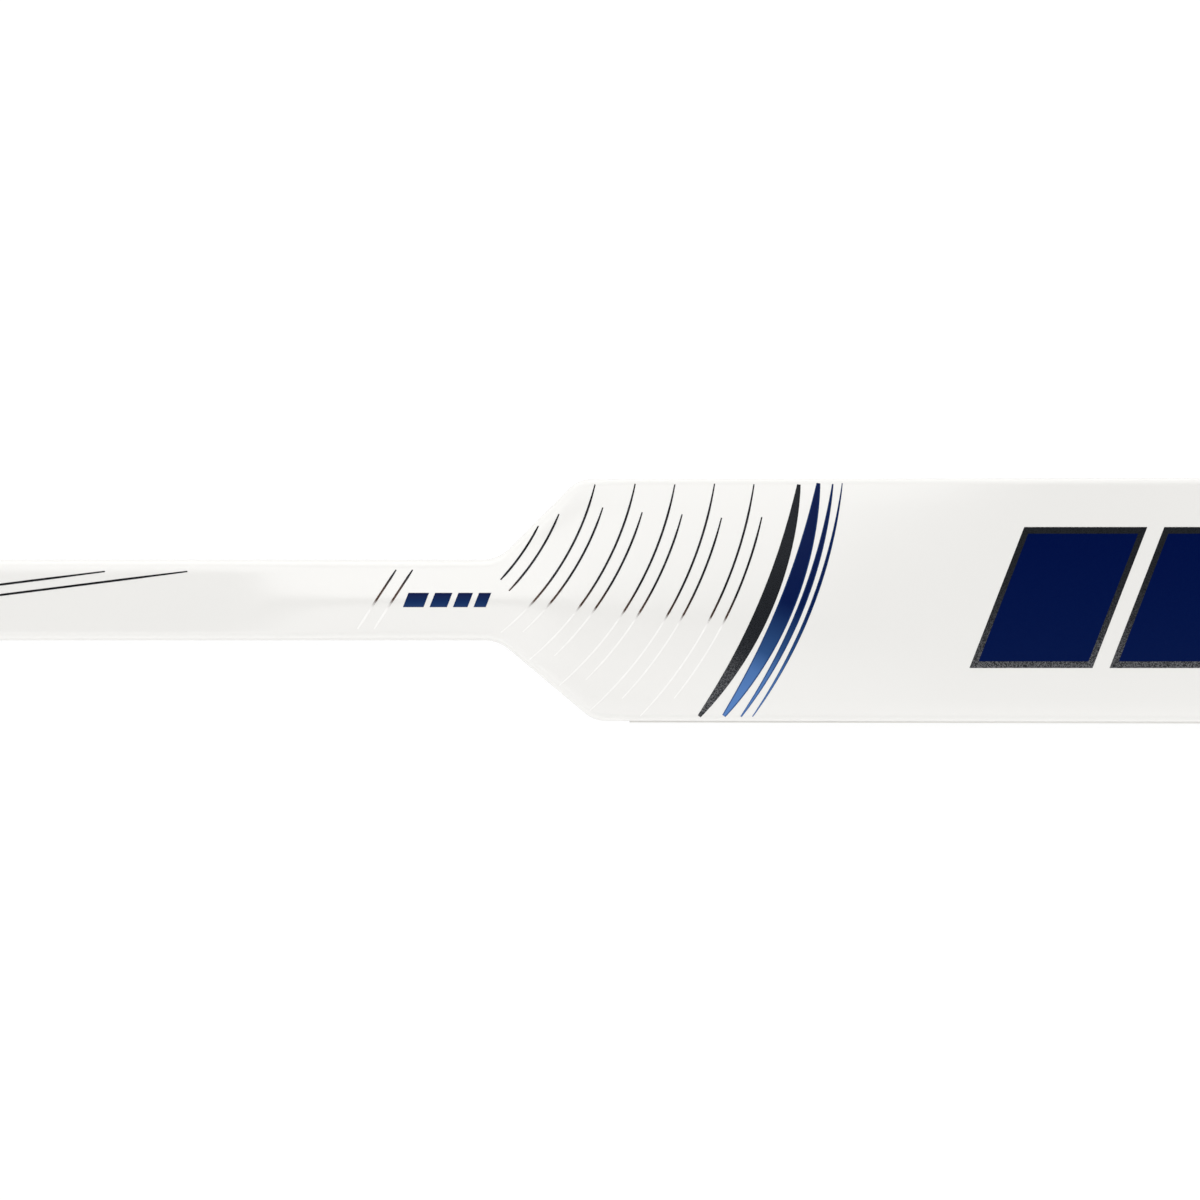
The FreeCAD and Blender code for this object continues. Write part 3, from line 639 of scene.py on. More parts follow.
class Nodes:
    """Adds nodes to a tree and sets or links their sockets."""

    def __init__(self, tree):
        self.tree = tree

    def add(self, kind, sockets=None, **settings):
        """Add a node, set its options, and fill its sockets with values or links."""
        node = self.tree.nodes.new(kind)
        for name, value in settings.items():
            setattr(node, name, value)
        for key, value in (sockets or {}).items():
            self.fill(node.inputs[key], value)
        return node

    def fill(self, socket, value):
        """Link an output to a socket, or set the socket's own value."""
        if isinstance(value, bpy.types.NodeSocket):
            self.tree.links.new(value, socket)
        else:
            socket.default_value = value

    def value(self, kind, sockets=None, result=0, **settings):
        """Add a shader or utility node and return one of its outputs."""
        return self.add("ShaderNode" + kind, sockets, **settings).outputs[result]

    def math(self, operation, first, second=0.0):
        """Add a math node and return its result."""
        return self.value("Math", {0: first, 1: second}, operation=operation)

    def times(self, first, second):
        """Multiply two values."""
        return self.math("MULTIPLY", first, second)

    def plus(self, first, second):
        """Add two values."""
        return self.math("ADD", first, second)

    def minus(self, first, second):
        """Take the second value from the first."""
        return self.math("SUBTRACT", first, second)

    def vector(self, x, y, z):
        """Join three numbers into a vector."""
        return self.value("CombineXYZ", {0: x, 1: y, 2: z})

    def parts(self, vector):
        """Return the three numbers of a vector."""
        return self.add("ShaderNodeSeparateXYZ", {0: vector}).outputs

    def ramp(self, factor, stops):
        """Run through stops of place and colour."""
        node = self.add("ShaderNodeValToRGB", {"Fac": factor})
        steps = node.color_ramp.elements
        for step, (place, colour) in ((steps[0], stops[0]), (steps[1], stops[-1])):
            step.position = place
            step.color = colour
        for place, colour in stops[1:-1]:
            steps.new(place).color = colour
        return node.outputs["Color"]


class Coating(Nodes):
    """A material whose nodes feed one shader."""

    def __init__(self, name, metallic=0.0, coat=0.0, coat_roughness=0.05, specular=0.5):
        material = bpy.data.materials.new(name)
        material.use_nodes = True
        super().__init__(material.node_tree)
        self.shader = self.tree.nodes["Principled BSDF"].inputs
        self.shader["Metallic"].default_value = metallic
        self.shader["Coat Weight"].default_value = coat
        self.shader["Coat Roughness"].default_value = coat_roughness
        self.shader["Specular IOR Level"].default_value = specular

    def place(self):
        """Return object coordinates."""
        return self.value("TexCoord", result="Object")

    def noise(self, scale, detail=2.0, stretch=None):
        """Return a noise value in object coordinates."""
        place = self.place()
        if stretch:
            place = self.value("Mapping", {"Vector": place, "Scale": stretch})
        return self.value("TexNoise", {"Vector": place, "Scale": scale, "Detail": detail}, "Fac")

    def cells(self, scale, result):
        """Return an output of a cell pattern in object coordinates."""
        return self.value("TexVoronoi", {"Vector": self.place(), "Scale": scale}, result)

    def sparks(self, scale):
        """Return a value that differs from flake to flake."""
        return self.value("SeparateColor", {"Color": self.cells(scale, "Color")})

    def stored(self, name):
        """Return a value that the print carries at its points."""
        return self.value("Attribute", result="Fac", attribute_name=name)

    def mapped(self, value, span, low=0.0, high=1.0):
        """Map a span of values onto a range."""
        sockets = {"Value": value, "From Min": span[0], "From Max": span[1], "To Min": low, "To Max": high}
        return self.value("MapRange", sockets, "Result")

    def ranged(self, value, low=0.0, high=1.0):
        """Map a noise value onto a range."""
        return self.mapped(value, NOISE_SPAN, low, high)

    def blended(self, factor, first, second):
        """Mix two colours."""
        node = self.add("ShaderNodeMix", data_type="RGBA")
        colours = [socket for socket in node.inputs if socket.type == "RGBA"]
        for socket, value in zip([node.inputs[0]] + colours, (factor, first, second)):
            self.fill(socket, value)
        return next(socket for socket in node.outputs if socket.type == "RGBA")

    def varied(self, factor, colour, low, high):
        """Vary a colour between two shares of itself."""
        return self.blended(factor, shade(colour, low), shade(colour, high))

    def dress(self, colour, roughness):
        """Give the shader its colour and roughness."""
        self.fill(self.shader["Base Color"], colour)
        self.fill(self.shader["Roughness"], roughness)

    def bump(self, height, strength, distance):
        """Give the shader a bump from a height value."""
        sockets = {"Height": height, "Strength": strength, "Distance": distance}
        self.fill(self.shader["Normal"], self.value("Bump", sockets, "Normal"))


def gloss_paint(name, colour):
    """Sprayed gloss paint with faint clouds and orange peel."""
    paint = Coating(name, specular=1.0)
    clouds = paint.ranged(paint.noise(scale=14.0, detail=3.0))
    rubbed = paint.noise(scale=260.0, detail=4.0)
    tint = paint.varied(clouds, colour, low=0.996, high=1.004)
    paint.dress(tint, paint.ranged(rubbed, low=0.13, high=0.15))
    paint.bump(paint.noise(scale=520.0, detail=1.0), strength=0.02, distance=0.02 * MM)


def moulded_plastic(name, colour, low=0.36, high=0.5):
    """Moulded plastic with a fine satin grain and faint flow marks."""
    plastic = Coating(name)
    flow = plastic.ranged(plastic.noise(scale=30.0, detail=4.0, stretch=(0.2, 1.0, 1.0)))
    rubbed = plastic.noise(scale=400.0, detail=3.0)
    tint = plastic.varied(flow, colour, low=0.95, high=1.03)
    plastic.dress(tint, plastic.ranged(rubbed, low, high))
    plastic.bump(plastic.noise(scale=1800.0), strength=0.12, distance=0.05 * MM)


def woven_carbon(name):
    """Carbon laminate with crossing tows."""
    carbon = Coating(name, coat=0.15, coat_roughness=0.12, specular=0.2)
    tows = carbon.value("TexChecker", {"Vector": carbon.place(), "Scale": 500.0}, "Fac")
    fibre = carbon.noise(scale=900.0, stretch=(0.1, 1.0, 1.0))
    weave = carbon.plus(carbon.times(fibre, FIBRE_SHARE), carbon.times(tows, 1 - FIBRE_SHARE))
    carbon.dress(carbon.blended(weave, DARK_TOW, PALE_TOW), carbon.ranged(fibre, low=0.3, high=0.5))
    carbon.bump(weave, strength=0.2, distance=0.1 * MM)


def closed_foam(name):
    """Cream rigid foam with small closed cells."""
    foam = Coating(name)
    cells = foam.cells(scale=900.0, result="Distance")
    rubbed = foam.noise(scale=300.0)
    foam.dress(foam.blended(cells, FOAM_CELL, FOAM_WALL), foam.ranged(rubbed, low=0.7, high=0.9))
    foam.bump(cells, strength=0.5, distance=0.4 * MM)


def stripe_foil(name, finish):
    """Hot-stamped foil painted with its reflection: dark chrome, then warm bronze, then pale silver."""
    foil = Coating(name)
    streaks = foil.ranged(foil.noise(scale=420.0, detail=3.0, stretch=(1.0, 0.3, 1.0)))
    # Dark, warm and pale paint the foil's reflection, and the tone picks between them
    dark = foil.varied(streaks, finish.foil_dark_reflection, low=0.6, high=1.5)
    pale = foil.varied(streaks, finish.foil_pale_reflection, low=0.98, high=1.01)
    tone = foil.stored("tone")
    warm = foil.blended(foil.mapped(tone, (0.0, WARM_REFLECTION_TONE)), dark, shade(finish.foil_warm_reflection))
    colour = foil.blended(foil.mapped(tone, (WARM_REFLECTION_TONE, 1.0)), warm, pale)
    foil.dress(colour, foil.ranged(foil.noise(scale=700.0), low=0.16, high=0.3))
    foil.fill(foil.shader["Metallic"], foil.minus(1.0, tone))


def blue_lacquer(name, finish):
    """Translucent blue over a fine flake, from navy through royal to sky, with a dark outline."""
    blue = Coating(name, specular=0.06)
    navy = shade(finish.navy)
    royal = shade(finish.royal)
    tones = blue.ramp(blue.stored("tone"), ((0.0, navy), (0.5, royal), (1.0, shade(finish.sky))))
    body = blue.blended(blue.ranged(blue.sparks(scale=4200.0), high=0.02), tones, royal)
    across = blue.stored("across")
    inset = blue.times(blue.minus(1.0, across), blue.times(blue.stored("width"), 0.5))
    edge = blue.times(blue.mapped(inset, OUTLINE_FADE, OUTLINE_STRENGTH, 0.0), across)
    outline = shade((np.array(finish.navy) + np.array(finish.royal)) / 2)
    rubbed = blue.noise(scale=900.0)
    blue.dress(blue.blended(edge, body, outline), blue.ranged(rubbed, low=0.10, high=0.15))


def flake_lacquer(name, finish):
    """Gunmetal lacquer with silver flake that thins along its tone."""
    flake = Coating(name, metallic=0.7, coat=0.1, coat_roughness=0.08, specular=0.25)
    spark = flake.sparks(scale=3600.0)
    glint = flake.mapped(spark, span=(0.3, 1.0), low=0.03, high=0.30)
    shown = flake.times(glint, flake.math("POWER", flake.stored("tone"), FLAKE_THINNING))
    colour = flake.blended(shown, shade(finish.flake), SILVER)
    flake.dress(colour, flake.ranged(spark, low=0.25, high=0.45))


def finish_named(name):
    """Return a finish of the stick, made at its first use."""
    finish = bpy.context.scene.stick_finish
    makers = {
        "gloss_white_paint": lambda: gloss_paint(name, finish.white_paint),
        "edge_strip_plastic": lambda: moulded_plastic(name, finish.edge_plastic),
        "butt_cap_rubber": lambda: moulded_plastic(name, finish.cap_rubber, low=0.5, high=0.7),
        "crossed_carbon": lambda: woven_carbon(name),
        "core_foam": lambda: closed_foam(name),
        "stripe_foil": lambda: stripe_foil(name, finish),
        "blue_lacquer": lambda: blue_lacquer(name, finish),
        "flake_lacquer": lambda: flake_lacquer(name, finish),
    }
    if name not in bpy.data.materials:
        makers[name]()
    return bpy.data.materials[name]


NODE_FINISHES = {
    "gloss_white_paint": (
        "upper_rail", "top_strip", "heel_block", "blade_front_skin", "blade_back_skin",
    ),
    "edge_strip_plastic": ("lower_rail", "sole_strip", "toe_cap"),
    "butt_cap_rubber": ("butt_cap",),
    "crossed_carbon": ("paddle_spine", "blade_rib"),
    "core_foam": ("upper_foam_core", "lower_foam_core", "upper_blade_core", "lower_blade_core"),
}

FILM_SOCKETS = [
    ("Face", "Object"), ("Shaft", "Object"), ("Lift", "Float"), ("Film", "Float"),
    ("Outward", "Float"), ("Material", "Material"),
]
BAR_SIZES = ("Start", "Middle", "Width", "Shrink", "Gap", "Height", "Slant", "Rim", "Tone")


class PrintTree(Nodes):
    """A geometry tree with named inputs that ends as a thin film on the stick."""

    def __init__(self, name, sockets):
        super().__init__(bpy.data.node_groups.new(name, "GeometryNodeTree"))
        for socket, kind in [("Geometry", "Geometry")] + sockets + FILM_SOCKETS:
            self.socket(socket, kind, "INPUT")
        self.socket("Geometry", "Geometry", "OUTPUT")
        self.given = self.add("NodeGroupInput").outputs
        self.result = self.add("NodeGroupOutput").inputs

    def socket(self, name, kind, side):
        """Add a named socket to the tree's interface."""
        self.tree.interface.new_socket(name=name, in_out=side, socket_type="NodeSocket" + kind)

    def shape(self, kind, sockets=None, result=0, **settings):
        """Add a geometry node and return one of its outputs."""
        return self.add("GeometryNode" + kind, sockets, **settings).outputs[result]

    def joined(self, *shapes):
        """Join geometries."""
        node = self.add("GeometryNodeJoinGeometry")
        for shape in shapes:
            self.fill(node.inputs[0], shape)
        return node.outputs[0]

    def position(self):
        """Return the three coordinates of a point."""
        return self.parts(self.shape("InputPosition"))

    def store(self, shape, name, value):
        """Keep a value on a geometry's points."""
        sockets = {"Geometry": shape, "Name": name, "Value": value}
        return self.shape("StoreNamedAttribute", sockets, data_type="FLOAT", domain="POINT")

    def lay(self, sheet):
        """Lay a flat sheet on the stick as a thin closed film, realise it and give it its finish."""
        given = self.given
        outward = given["Outward"]
        face = self.shape("ObjectInfo", {"Object": given["Face"]}, "Geometry")
        shaft = self.shape("ObjectInfo", {"Object": given["Shaft"]}, "Geometry")
        spot = self.position()
        above = self.vector(spot[0], spot[1], self.times(outward, DROP_START))
        down = self.vector(0.0, 0.0, self.times(outward, -1.0))
        sockets = {
            "Target Geometry": self.joined(face, shaft),
            "Source Position": above,
            "Ray Direction": down,
            "Ray Length": DROP_REACH,
        }
        ray = self.add("GeometryNodeRaycast", sockets).outputs
        missed = self.add("FunctionNodeBooleanMath", {0: ray["Is Hit"]}, operation="NOT").outputs[0]
        kept = self.shape("DeleteGeometry", {"Geometry": sheet, "Selection": missed})
        sunk = self.vector(0.0, 0.0, self.times(self.minus(given["Lift"], given["Film"]), outward))
        sockets = {"Geometry": kept, "Position": ray["Hit Position"], "Offset": sunk}
        laid = self.shape("SetPosition", sockets)
        rise = self.vector(0.0, 0.0, outward)
        sockets = {"Mesh": laid, "Offset": rise, "Offset Scale": given["Film"], "Individual": False}
        raised = self.shape("ExtrudeMesh", sockets, "Mesh")
        closed = self.shape("MergeByDistance", {"Geometry": self.joined(laid, raised), "Distance": WELD})
        real = self.shape("RealizeInstances", {"Geometry": closed})
        shown = self.shape("SetMaterial", {"Geometry": real, "Material": given["Material"]})
        self.fill(self.result["Geometry"], shown)


def ribbon_tree(name):
    """Build the tree that turns guide lines into printed ribbons of their own width."""
    tree = PrintTree(name, [("Across", "Int")])
    curve = tree.shape("MeshToCurve", {"Mesh": tree.given["Geometry"]})
    level = tree.shape("SetCurveNormal", {"Curve": curve}, mode="Z_UP")
    line = tree.shape("CurvePrimitiveLine", {"Start": (-0.5, 0, 0), "End": (0.5, 0, 0)})
    rows = tree.shape("ResampleCurve", {"Curve": line, "Count": tree.given["Across"]})
    across = tree.math("ABSOLUTE", tree.times(tree.position()[0], 2.0))
    edged = tree.store(rows, "across", across)
    width = tree.shape("InputNamedAttribute", {"Name": "width"}, data_type="FLOAT")
    tree.lay(tree.shape("CurveToMesh", {"Curve": level, "Profile Curve": edged, "Scale": width}))


def bar_tree(name):
    """Build the tree that repeats a slanted bar, each narrower than the last."""
    tree = PrintTree(name, [("Count", "Int")] + [(size, "Float") for size in BAR_SIZES])
    given = tree.given
    points = tree.shape("MeshLine", {"Count": given["Count"], "Offset": (0, 0, 0)})
    index = tree.shape("InputIndex")
    kept = tree.math("POWER", given["Shrink"], index)
    width = tree.times(given["Width"], kept)
    series = tree.math("DIVIDE", tree.minus(1.0, kept), tree.minus(1.0, given["Shrink"]))
    passed = tree.plus(tree.times(given["Width"], series), tree.times(given["Gap"], index))
    along = tree.plus(tree.plus(given["Start"], tree.times(width, 0.5)), passed)
    spread = tree.shape("SetPosition", {"Geometry": points, "Position": tree.vector(along, 0.0, 0.0)})
    sockets = {"Size X": 1.0, "Size Y": 1.0, "Vertices X": BAR_POINTS[0], "Vertices Y": BAR_POINTS[1]}
    grid = tree.shape("MeshGrid", sockets, "Mesh")
    tone = tree.times(tree.minus(0.5, tree.position()[1]), given["Tone"])
    toned = tree.store(grid, "tone", tone)
    rims = tree.times(given["Rim"], 2.0)
    size = tree.vector(tree.plus(width, rims), tree.plus(given["Height"], rims), 1.0)
    bars = tree.shape("InstanceOnPoints", {"Points": spread, "Instance": toned, "Scale": size})
    real = tree.shape("RealizeInstances", {"Geometry": bars})
    spot = tree.position()
    lean = tree.times(tree.plus(spot[1], tree.times(given["Height"], 0.5)), given["Slant"])
    slanted = tree.vector(tree.plus(spot[0], lean), tree.plus(spot[1], given["Middle"]), 0.0)
    tree.lay(tree.shape("SetPosition", {"Geometry": real, "Position": slanted}))


TREES = {"print_ribbons": ribbon_tree, "print_bars": bar_tree}


def tree_named(name):
    """Return a print's tree, built at its first use."""
    if name not in bpy.data.node_groups:
        TREES[name](name)
    return bpy.data.node_groups[name]


def grown_print(name, tree, guide, values):
    """Run a tree once on a guide mesh and keep the result as a plain mesh."""
    piece = placed(name, guide)
    modifier = piece.modifiers.new("print", "NODES")
    modifier.node_group = tree
    for item in tree.interface.items_tree:
        if item.in_out == "INPUT" and item.name in values:
            modifier[item.identifier] = values[item.name]
    graph = bpy.context.evaluated_depsgraph_get()
    grown = bpy.data.meshes.new_from_object(piece.evaluated_get(graph))
    piece.modifiers.clear()
    piece.data = grown
    grown.name = name
    if not grown.polygons:
        raise RuntimeError(name + " came out empty")
    bm = bmesh.new()
    bm.from_mesh(grown)
    smooth_mesh(bm, grown)
    return piece


def guide_lines(name, lines):
    """Make a mesh of open lines whose points carry a width and a tone."""
    points = []
    edges = []
    values = {"width": [], "tone": []}
    for line, width, tone in lines:
        first = len(points)
        points.extend((x, y, 0.0) for x, y in line)
        edges.extend((first + index, first + index + 1) for index in range(len(line) - 1))
        values["width"].extend(np.broadcast_to(width, len(line)))
        values["tone"].extend(np.broadcast_to(tone, len(line)))
    mesh = bpy.data.meshes.new(name)
    mesh.from_pydata(points, edges, [])
    for kind, numbers in values.items():
        attribute = mesh.attributes.new(kind, "FLOAT", "POINT")
        attribute.data.foreach_set("value", np.array(numbers, dtype=np.float32))
    return mesh


def longest_run(points, inside):
    """Return the longest unbroken run of points that lie inside."""
    best = (0, 0)
    start = None
    for index, ok in enumerate(list(inside) + [False]):
        if ok and start is None:
            start = index
        if not ok and start is not None:
            if index - start > best[1] - best[0]:
                best = (start, index)
            start = None
    return points[best[0]:best[1]]


def paddle_ripple(plan, layout, radius):
    """Return the part of a ripple circle that lies on the paddle, from its top to its foot."""
    turns = np.arange(math.pi / 2, -math.pi, -PADDLE_SPACING / radius)
    x = layout.ripple_x + radius * np.cos(turns)
    y = layout.ripple_y + radius * np.sin(turns)
    inside = plan.holds(x, y, layout.margin) & (x > RIPPLE_START) & (x < SEAM_X)
    return longest_run(np.column_stack([x, y]), inside)


def blade_ripple(radius):
    """Return the part of a ripple circle that lies on the blade, from its top to its sole."""
    turns = np.arange(math.pi / 2, -math.pi / 2, -BLADE_SPACING / radius)
    along = BLADE_RIPPLE[0] + radius * np.cos(turns)
    up = BLADE_RIPPLE[1] + radius * np.sin(turns)
    inside = (up > BLADE_SOLE_RIM) & (up < BLADE_HEIGHT - BLADE_TOP_RIM)
    run = longest_run(np.column_stack([along, up]), inside)
    x = BLADE_SOLE[0] + run[:, 0] * math.cos(LIE) - run[:, 1] * math.sin(LIE)
    y = BLADE_SOLE[1] + run[:, 0] * math.sin(LIE) + run[:, 1] * math.cos(LIE)
    return np.column_stack([x, y])


def paired(layout, first_radius, pairs, ripple):
    """Return the lines of pairs of ripple stripes, a long and a short one each."""
    lines = []
    for pair in range(pairs):
        for second, (top_cut, foot_cut) in enumerate(STRIPE_CUTS):
            line = ripple(first_radius + pair * layout.pair_step + second * layout.pair_gap)
            last = len(line) - 1
            lines.append(line[round(top_cut * last):round((1 - foot_cut) * last) + 1])
    return lines


def stripe_width(layout, line):
    """Return a stripe's width at each point, finer towards its two ends."""
    share = np.linspace(0, 1, len(line))
    near_end = np.minimum(share, 1 - share) / STRIPE_END
    return layout.stripe_width * (STRIPE_END_WIDTH + (1 - STRIPE_END_WIDTH) * np.clip(near_end, 0, 1))


def stripe_reflection_tone(plan, line):
    """Return the tone of the foil's painted reflection: dark above the crest, warming near it, pale below.
    """
    height = plan.above_crest(line)
    near = WARM_REFLECTION_TONE * np.clip(1 - height / WARM_REFLECTION_REACH, 0, 1)
    return np.maximum(near, 1 / (1 + np.exp(height / CREST_BLUR)))


def paddle_stripes(plan, layout):
    """Return the ripple stripes of the paddle with their widths and tones."""
    stripes = []
    ripples = paired(
        layout, layout.first_radius, layout.pair_count, lambda radius: paddle_ripple(plan, layout, radius)
    )
    for line in ripples:
        # The tone paints the foil's reflection, dark above the ridge's crest and pale below it
        tone = stripe_reflection_tone(plan, line)
        stripes.append((line, stripe_width(layout, line) * (1 - PALE_THINNING * tone), tone))
    return stripes


def shaft_stripes(plan, layout):
    """Return the two ticks on the grip and the long pairs of diagonals along the shaft."""
    stripes = []
    for tops, run, top, foot, points in SHAFT_STRIPES:
        share = np.linspace(0, 1, points)[:, None]
        for place in tops:
            start = np.array((place, top))
            end = np.array((place - run, foot))
            line = (start + (end - start) * share) * MM
            stripes.append((line, stripe_width(layout, line), stripe_reflection_tone(plan, line)))
    return stripes


def blade_stripes(layout):
    """Return the ripple stripes of the blade with their widths and tones."""
    stripes = []
    for line in paired(layout, BLADE_FIRST_RADIUS, BLADE_PAIRS, blade_ripple):
        # The tone paints the foil's reflection: dark over the first share of a stripe, pale after it
        tone = np.linspace(0, 1, len(line)) > BLADE_DARK_REFLECTION_SHARE
        stripes.append((line, stripe_width(layout, line), tone.astype(float)))
    return stripes


def crescent_width(line, width):
    """Return a band's width at each point, widest in its middle."""
    share = np.linspace(0, 1, len(line))
    return width * MM * np.sin(math.pi * (TIP_CUT + (1 - 2 * TIP_CUT) * share)) ** FULLNESS


def paddle_crescents(plan, layout, rings):
    """Return tapered bands of the paddle, navy above the ridge's crest and paler below it."""
    outermost = layout.first_radius + layout.pair_count * layout.pair_step
    bands = []
    for offset, width in rings:
        line = paddle_ripple(plan, layout, outermost + offset * MM)
        tone = np.interp(plan.above_crest(line) / MM, CREST_HEIGHTS, CREST_TONES)
        bands.append((line, crescent_width(line, width), tone))
    return bands


def blade_crescents(layout, rings):
    """Return tapered bands of the blade, paler towards the sole."""
    outermost = BLADE_FIRST_RADIUS + BLADE_PAIRS * layout.pair_step
    bands = []
    for offset, width in rings:
        line = blade_ripple(outermost + offset * MM)
        bands.append((line, crescent_width(line, width), np.linspace(0, 1, len(line)) ** BLADE_PALING))
    return bands


# Faces that take prints: first word of the print's name, object under it and its outward direction
STICK_SIDES = (("front", "paddle_face", 1.0), ("back", "paddle_back", -1.0))
BLADE_SIDES = (("blade_front", "blade_front_skin", 1.0), ("blade_back", "blade_back_skin", -1.0))


def film_values(layout, finish, face, outward):
    """Return the values that every print shares."""
    return {
        "Face": bpy.data.objects[face],
        "Shaft": bpy.data.objects["shaft_shell"],
        "Lift": layout.lift,
        "Film": layout.film,
        "Outward": outward,
        "Material": finish_named(finish),
    }


def print_ribbons(layout, kind, finish, slot, across, on_stick, on_blade):
    """Print ribbons on both sides of the stick and of the blade."""
    for sides, lines in ((STICK_SIDES, on_stick), (BLADE_SIDES, on_blade)):
        for side, face, outward in sides:
            name = side + "_" + kind
            values = film_values(layout, finish, face, outward)
            values["Across"] = across
            guide = guide_lines(name + "_guides", lines)
            stand_for(grown_print(name, tree_named("print_ribbons"), guide, values), slot)


def print_bars(layout, name, kind, colour, side, **sizes):
    """Print a row of slanted bars in the sizes of the bars or the dashes."""
    values = film_values(layout, colour + "_lacquer", side[1], side[2])
    for size in ("Count", "Start", "Width", "Gap", "Height"):
        values[size] = getattr(layout, kind + "_" + size.lower())
    values["Shrink"] = layout.bar_shrink
    values["Slant"] = layout.bar_slant
    values.update(sizes)
    guide = bpy.data.meshes.new(name + "_guide")
    stand_for(grown_print(name, tree_named("print_bars"), guide, values), "print_" + colour)


class STICK_OT_shaft(bpy.types.Operator):
    """Build the hollow shaft with its rounded edges and finger ridge"""

    bl_idname = "stick.shaft"
    bl_label = "Shaft"

    def execute(self, context):
        form = context.scene.stick_form
        plan = Plan(form)
        middle = THICKNESS / 2
        outside = []
        for x in SHAFT_PLACES:
            outside.append(section(x, plan.front_line(x, middle)[1:] + plan.back_line(x, middle)[1:]))
        wall = form.tube_wall
        bore = rounded_box(
            -HALF_SHAFT + wall, HALF_SHAFT - wall, wall, THICKNESS - wall, form.shaft_round - wall
        )
        inside = [section(x, bore) for x in (SHAFT_PLACES[0], SHAFT_PLACES[-1])]
        stand_for(tube_loft("shaft_shell", outside, inside), "painted_laminate", "shaft_tube")
        return {"FINISHED"}


class STICK_OT_paddle_skins(bpy.types.Operator):
    """Build the paddle's front skin with the fading ridge, and its flat back skin"""

    bl_idname = "stick.paddle_skins"
    bl_label = "Paddle Skins"

    def execute(self, context):
        plan = Plan(context.scene.stick_form)
        front = [section(x, plan.front_line(x, FRONT_SEAM_Z)) for x in PADDLE_PLACES]
        back = [section(x, plan.back_line(x, BACK_SEAM_Z)) for x in PADDLE_PLACES]
        stand_for(solid_loft("paddle_face", front), "painted_laminate", "paddle_front_skin")
        stand_for(solid_loft("paddle_back", back), "painted_laminate", "paddle_back_skin")
        return {"FINISHED"}


class STICK_OT_throat(bpy.types.Operator):
    """Build the two filler blocks whose walls carry the throat's rounding"""

    bl_idname = "stick.throat"
    bl_label = "Throat Fillers"

    def execute(self, context):
        plan = Plan(context.scene.stick_form)
        places = [x for x in PADDLE_PLACES if x < BLOCK_END_X - LAST_GAP] + [BLOCK_END_X]
        share = (1 - np.cos(np.linspace(0, math.pi, THROAT_ROWS))) / 2
        heights = BACK_SEAM_Z + (FRONT_SEAM_Z - BACK_SEAM_Z) * share
        for name, side in (("upper_throat", 1), ("lower_throat", -1)):
            sections = []
            for x in places:
                outer = [(plan.wall(x, z, side), z) for z in heights]
                inner = [(side * BLOCK_INNER_Y, z) for z in (FRONT_SEAM_Z, BACK_SEAM_Z)]
                sections.append(section(x, outer + inner))
            stand_for(solid_loft(name, sections), "painted_filler", name + "_block")
        return {"FINISHED"}


class STICK_OT_node_finishes(bpy.types.Operator):
    """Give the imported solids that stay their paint, plastic, rubber, carbon or foam"""

    bl_idname = "stick.node_finishes"
    bl_label = "Kept Solids"

    def execute(self, context):
        for name, nodes in NODE_FINISHES.items():
            for node in nodes:
                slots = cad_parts[node].data.materials
                slots.clear()
                slots.append(finish_named(name))
        return {"FINISHED"}


class STICK_OT_stripes(bpy.types.Operator):
    """Print the foil stripes on the shaft, the paddle and the blade"""

    bl_idname = "stick.stripes"
    bl_label = "Foil Stripes"

    def execute(self, context):
        layout = context.scene.stick_print
        plan = Plan(context.scene.stick_form)
        on_stick = paddle_stripes(plan, layout) + shaft_stripes(plan, layout)
        on_blade = blade_stripes(layout)
        print_ribbons(layout, "stripes", "stripe_foil", "print_foil", STRIPE_POINTS, on_stick, on_blade)
        return {"FINISHED"}


class STICK_OT_bands(bpy.types.Operator):
    """Print the tapered blue crescents and the flake crescent beside them"""

    bl_idname = "stick.bands"
    bl_label = "Crescent Bands"

    def execute(self, context):
        layout = context.scene.stick_print
        plan = Plan(context.scene.stick_form)
        for colour, rings in RINGS.items():
            on_stick = paddle_crescents(plan, layout, rings)
            on_blade = blade_crescents(layout, rings)
            kind = colour + "_crescents"
            finish = colour + "_lacquer"
            print_ribbons(layout, kind, finish, "print_" + colour, CRESCENT_POINTS, on_stick, on_blade)
        return {"FINISHED"}


class STICK_OT_bars(bpy.types.Operator):
    """Print the row of slanted bars with their flake rims"""

    bl_idname = "stick.bars"
    bl_label = "Slanted Bars"

    def execute(self, context):
        layout = context.scene.stick_print
        stacked = layout.lift + BAR_STACK * layout.lift
        for side in STICK_SIDES:
            for name, colour, rim, lift, tone in (
                ("_bar_rims", "flake", layout.bar_rim, layout.lift, RIM_TONE),
                ("_blue_bars", "blue", 0.0, stacked, BAR_TONE),
            ):
                sizes = {"Lift": lift, "Middle": BAR_MIDDLE, "Rim": rim, "Tone": tone}
                print_bars(layout, side[0] + name, "bar", colour, side, **sizes)
        return {"FINISHED"}


class STICK_OT_dashes(bpy.types.Operator):
    """Print the row of small dashes on the grip"""

    bl_idname = "stick.dashes"
    bl_label = "Grip Dashes"

    def execute(self, context):
        sizes = {"Middle": 0.0, "Rim": 0.0, "Tone": DASH_TONE}
        print_bars(context.scene.stick_print, "grip_dashes", "dash", "blue", STICK_SIDES[0], **sizes)
        return {"FINISHED"}


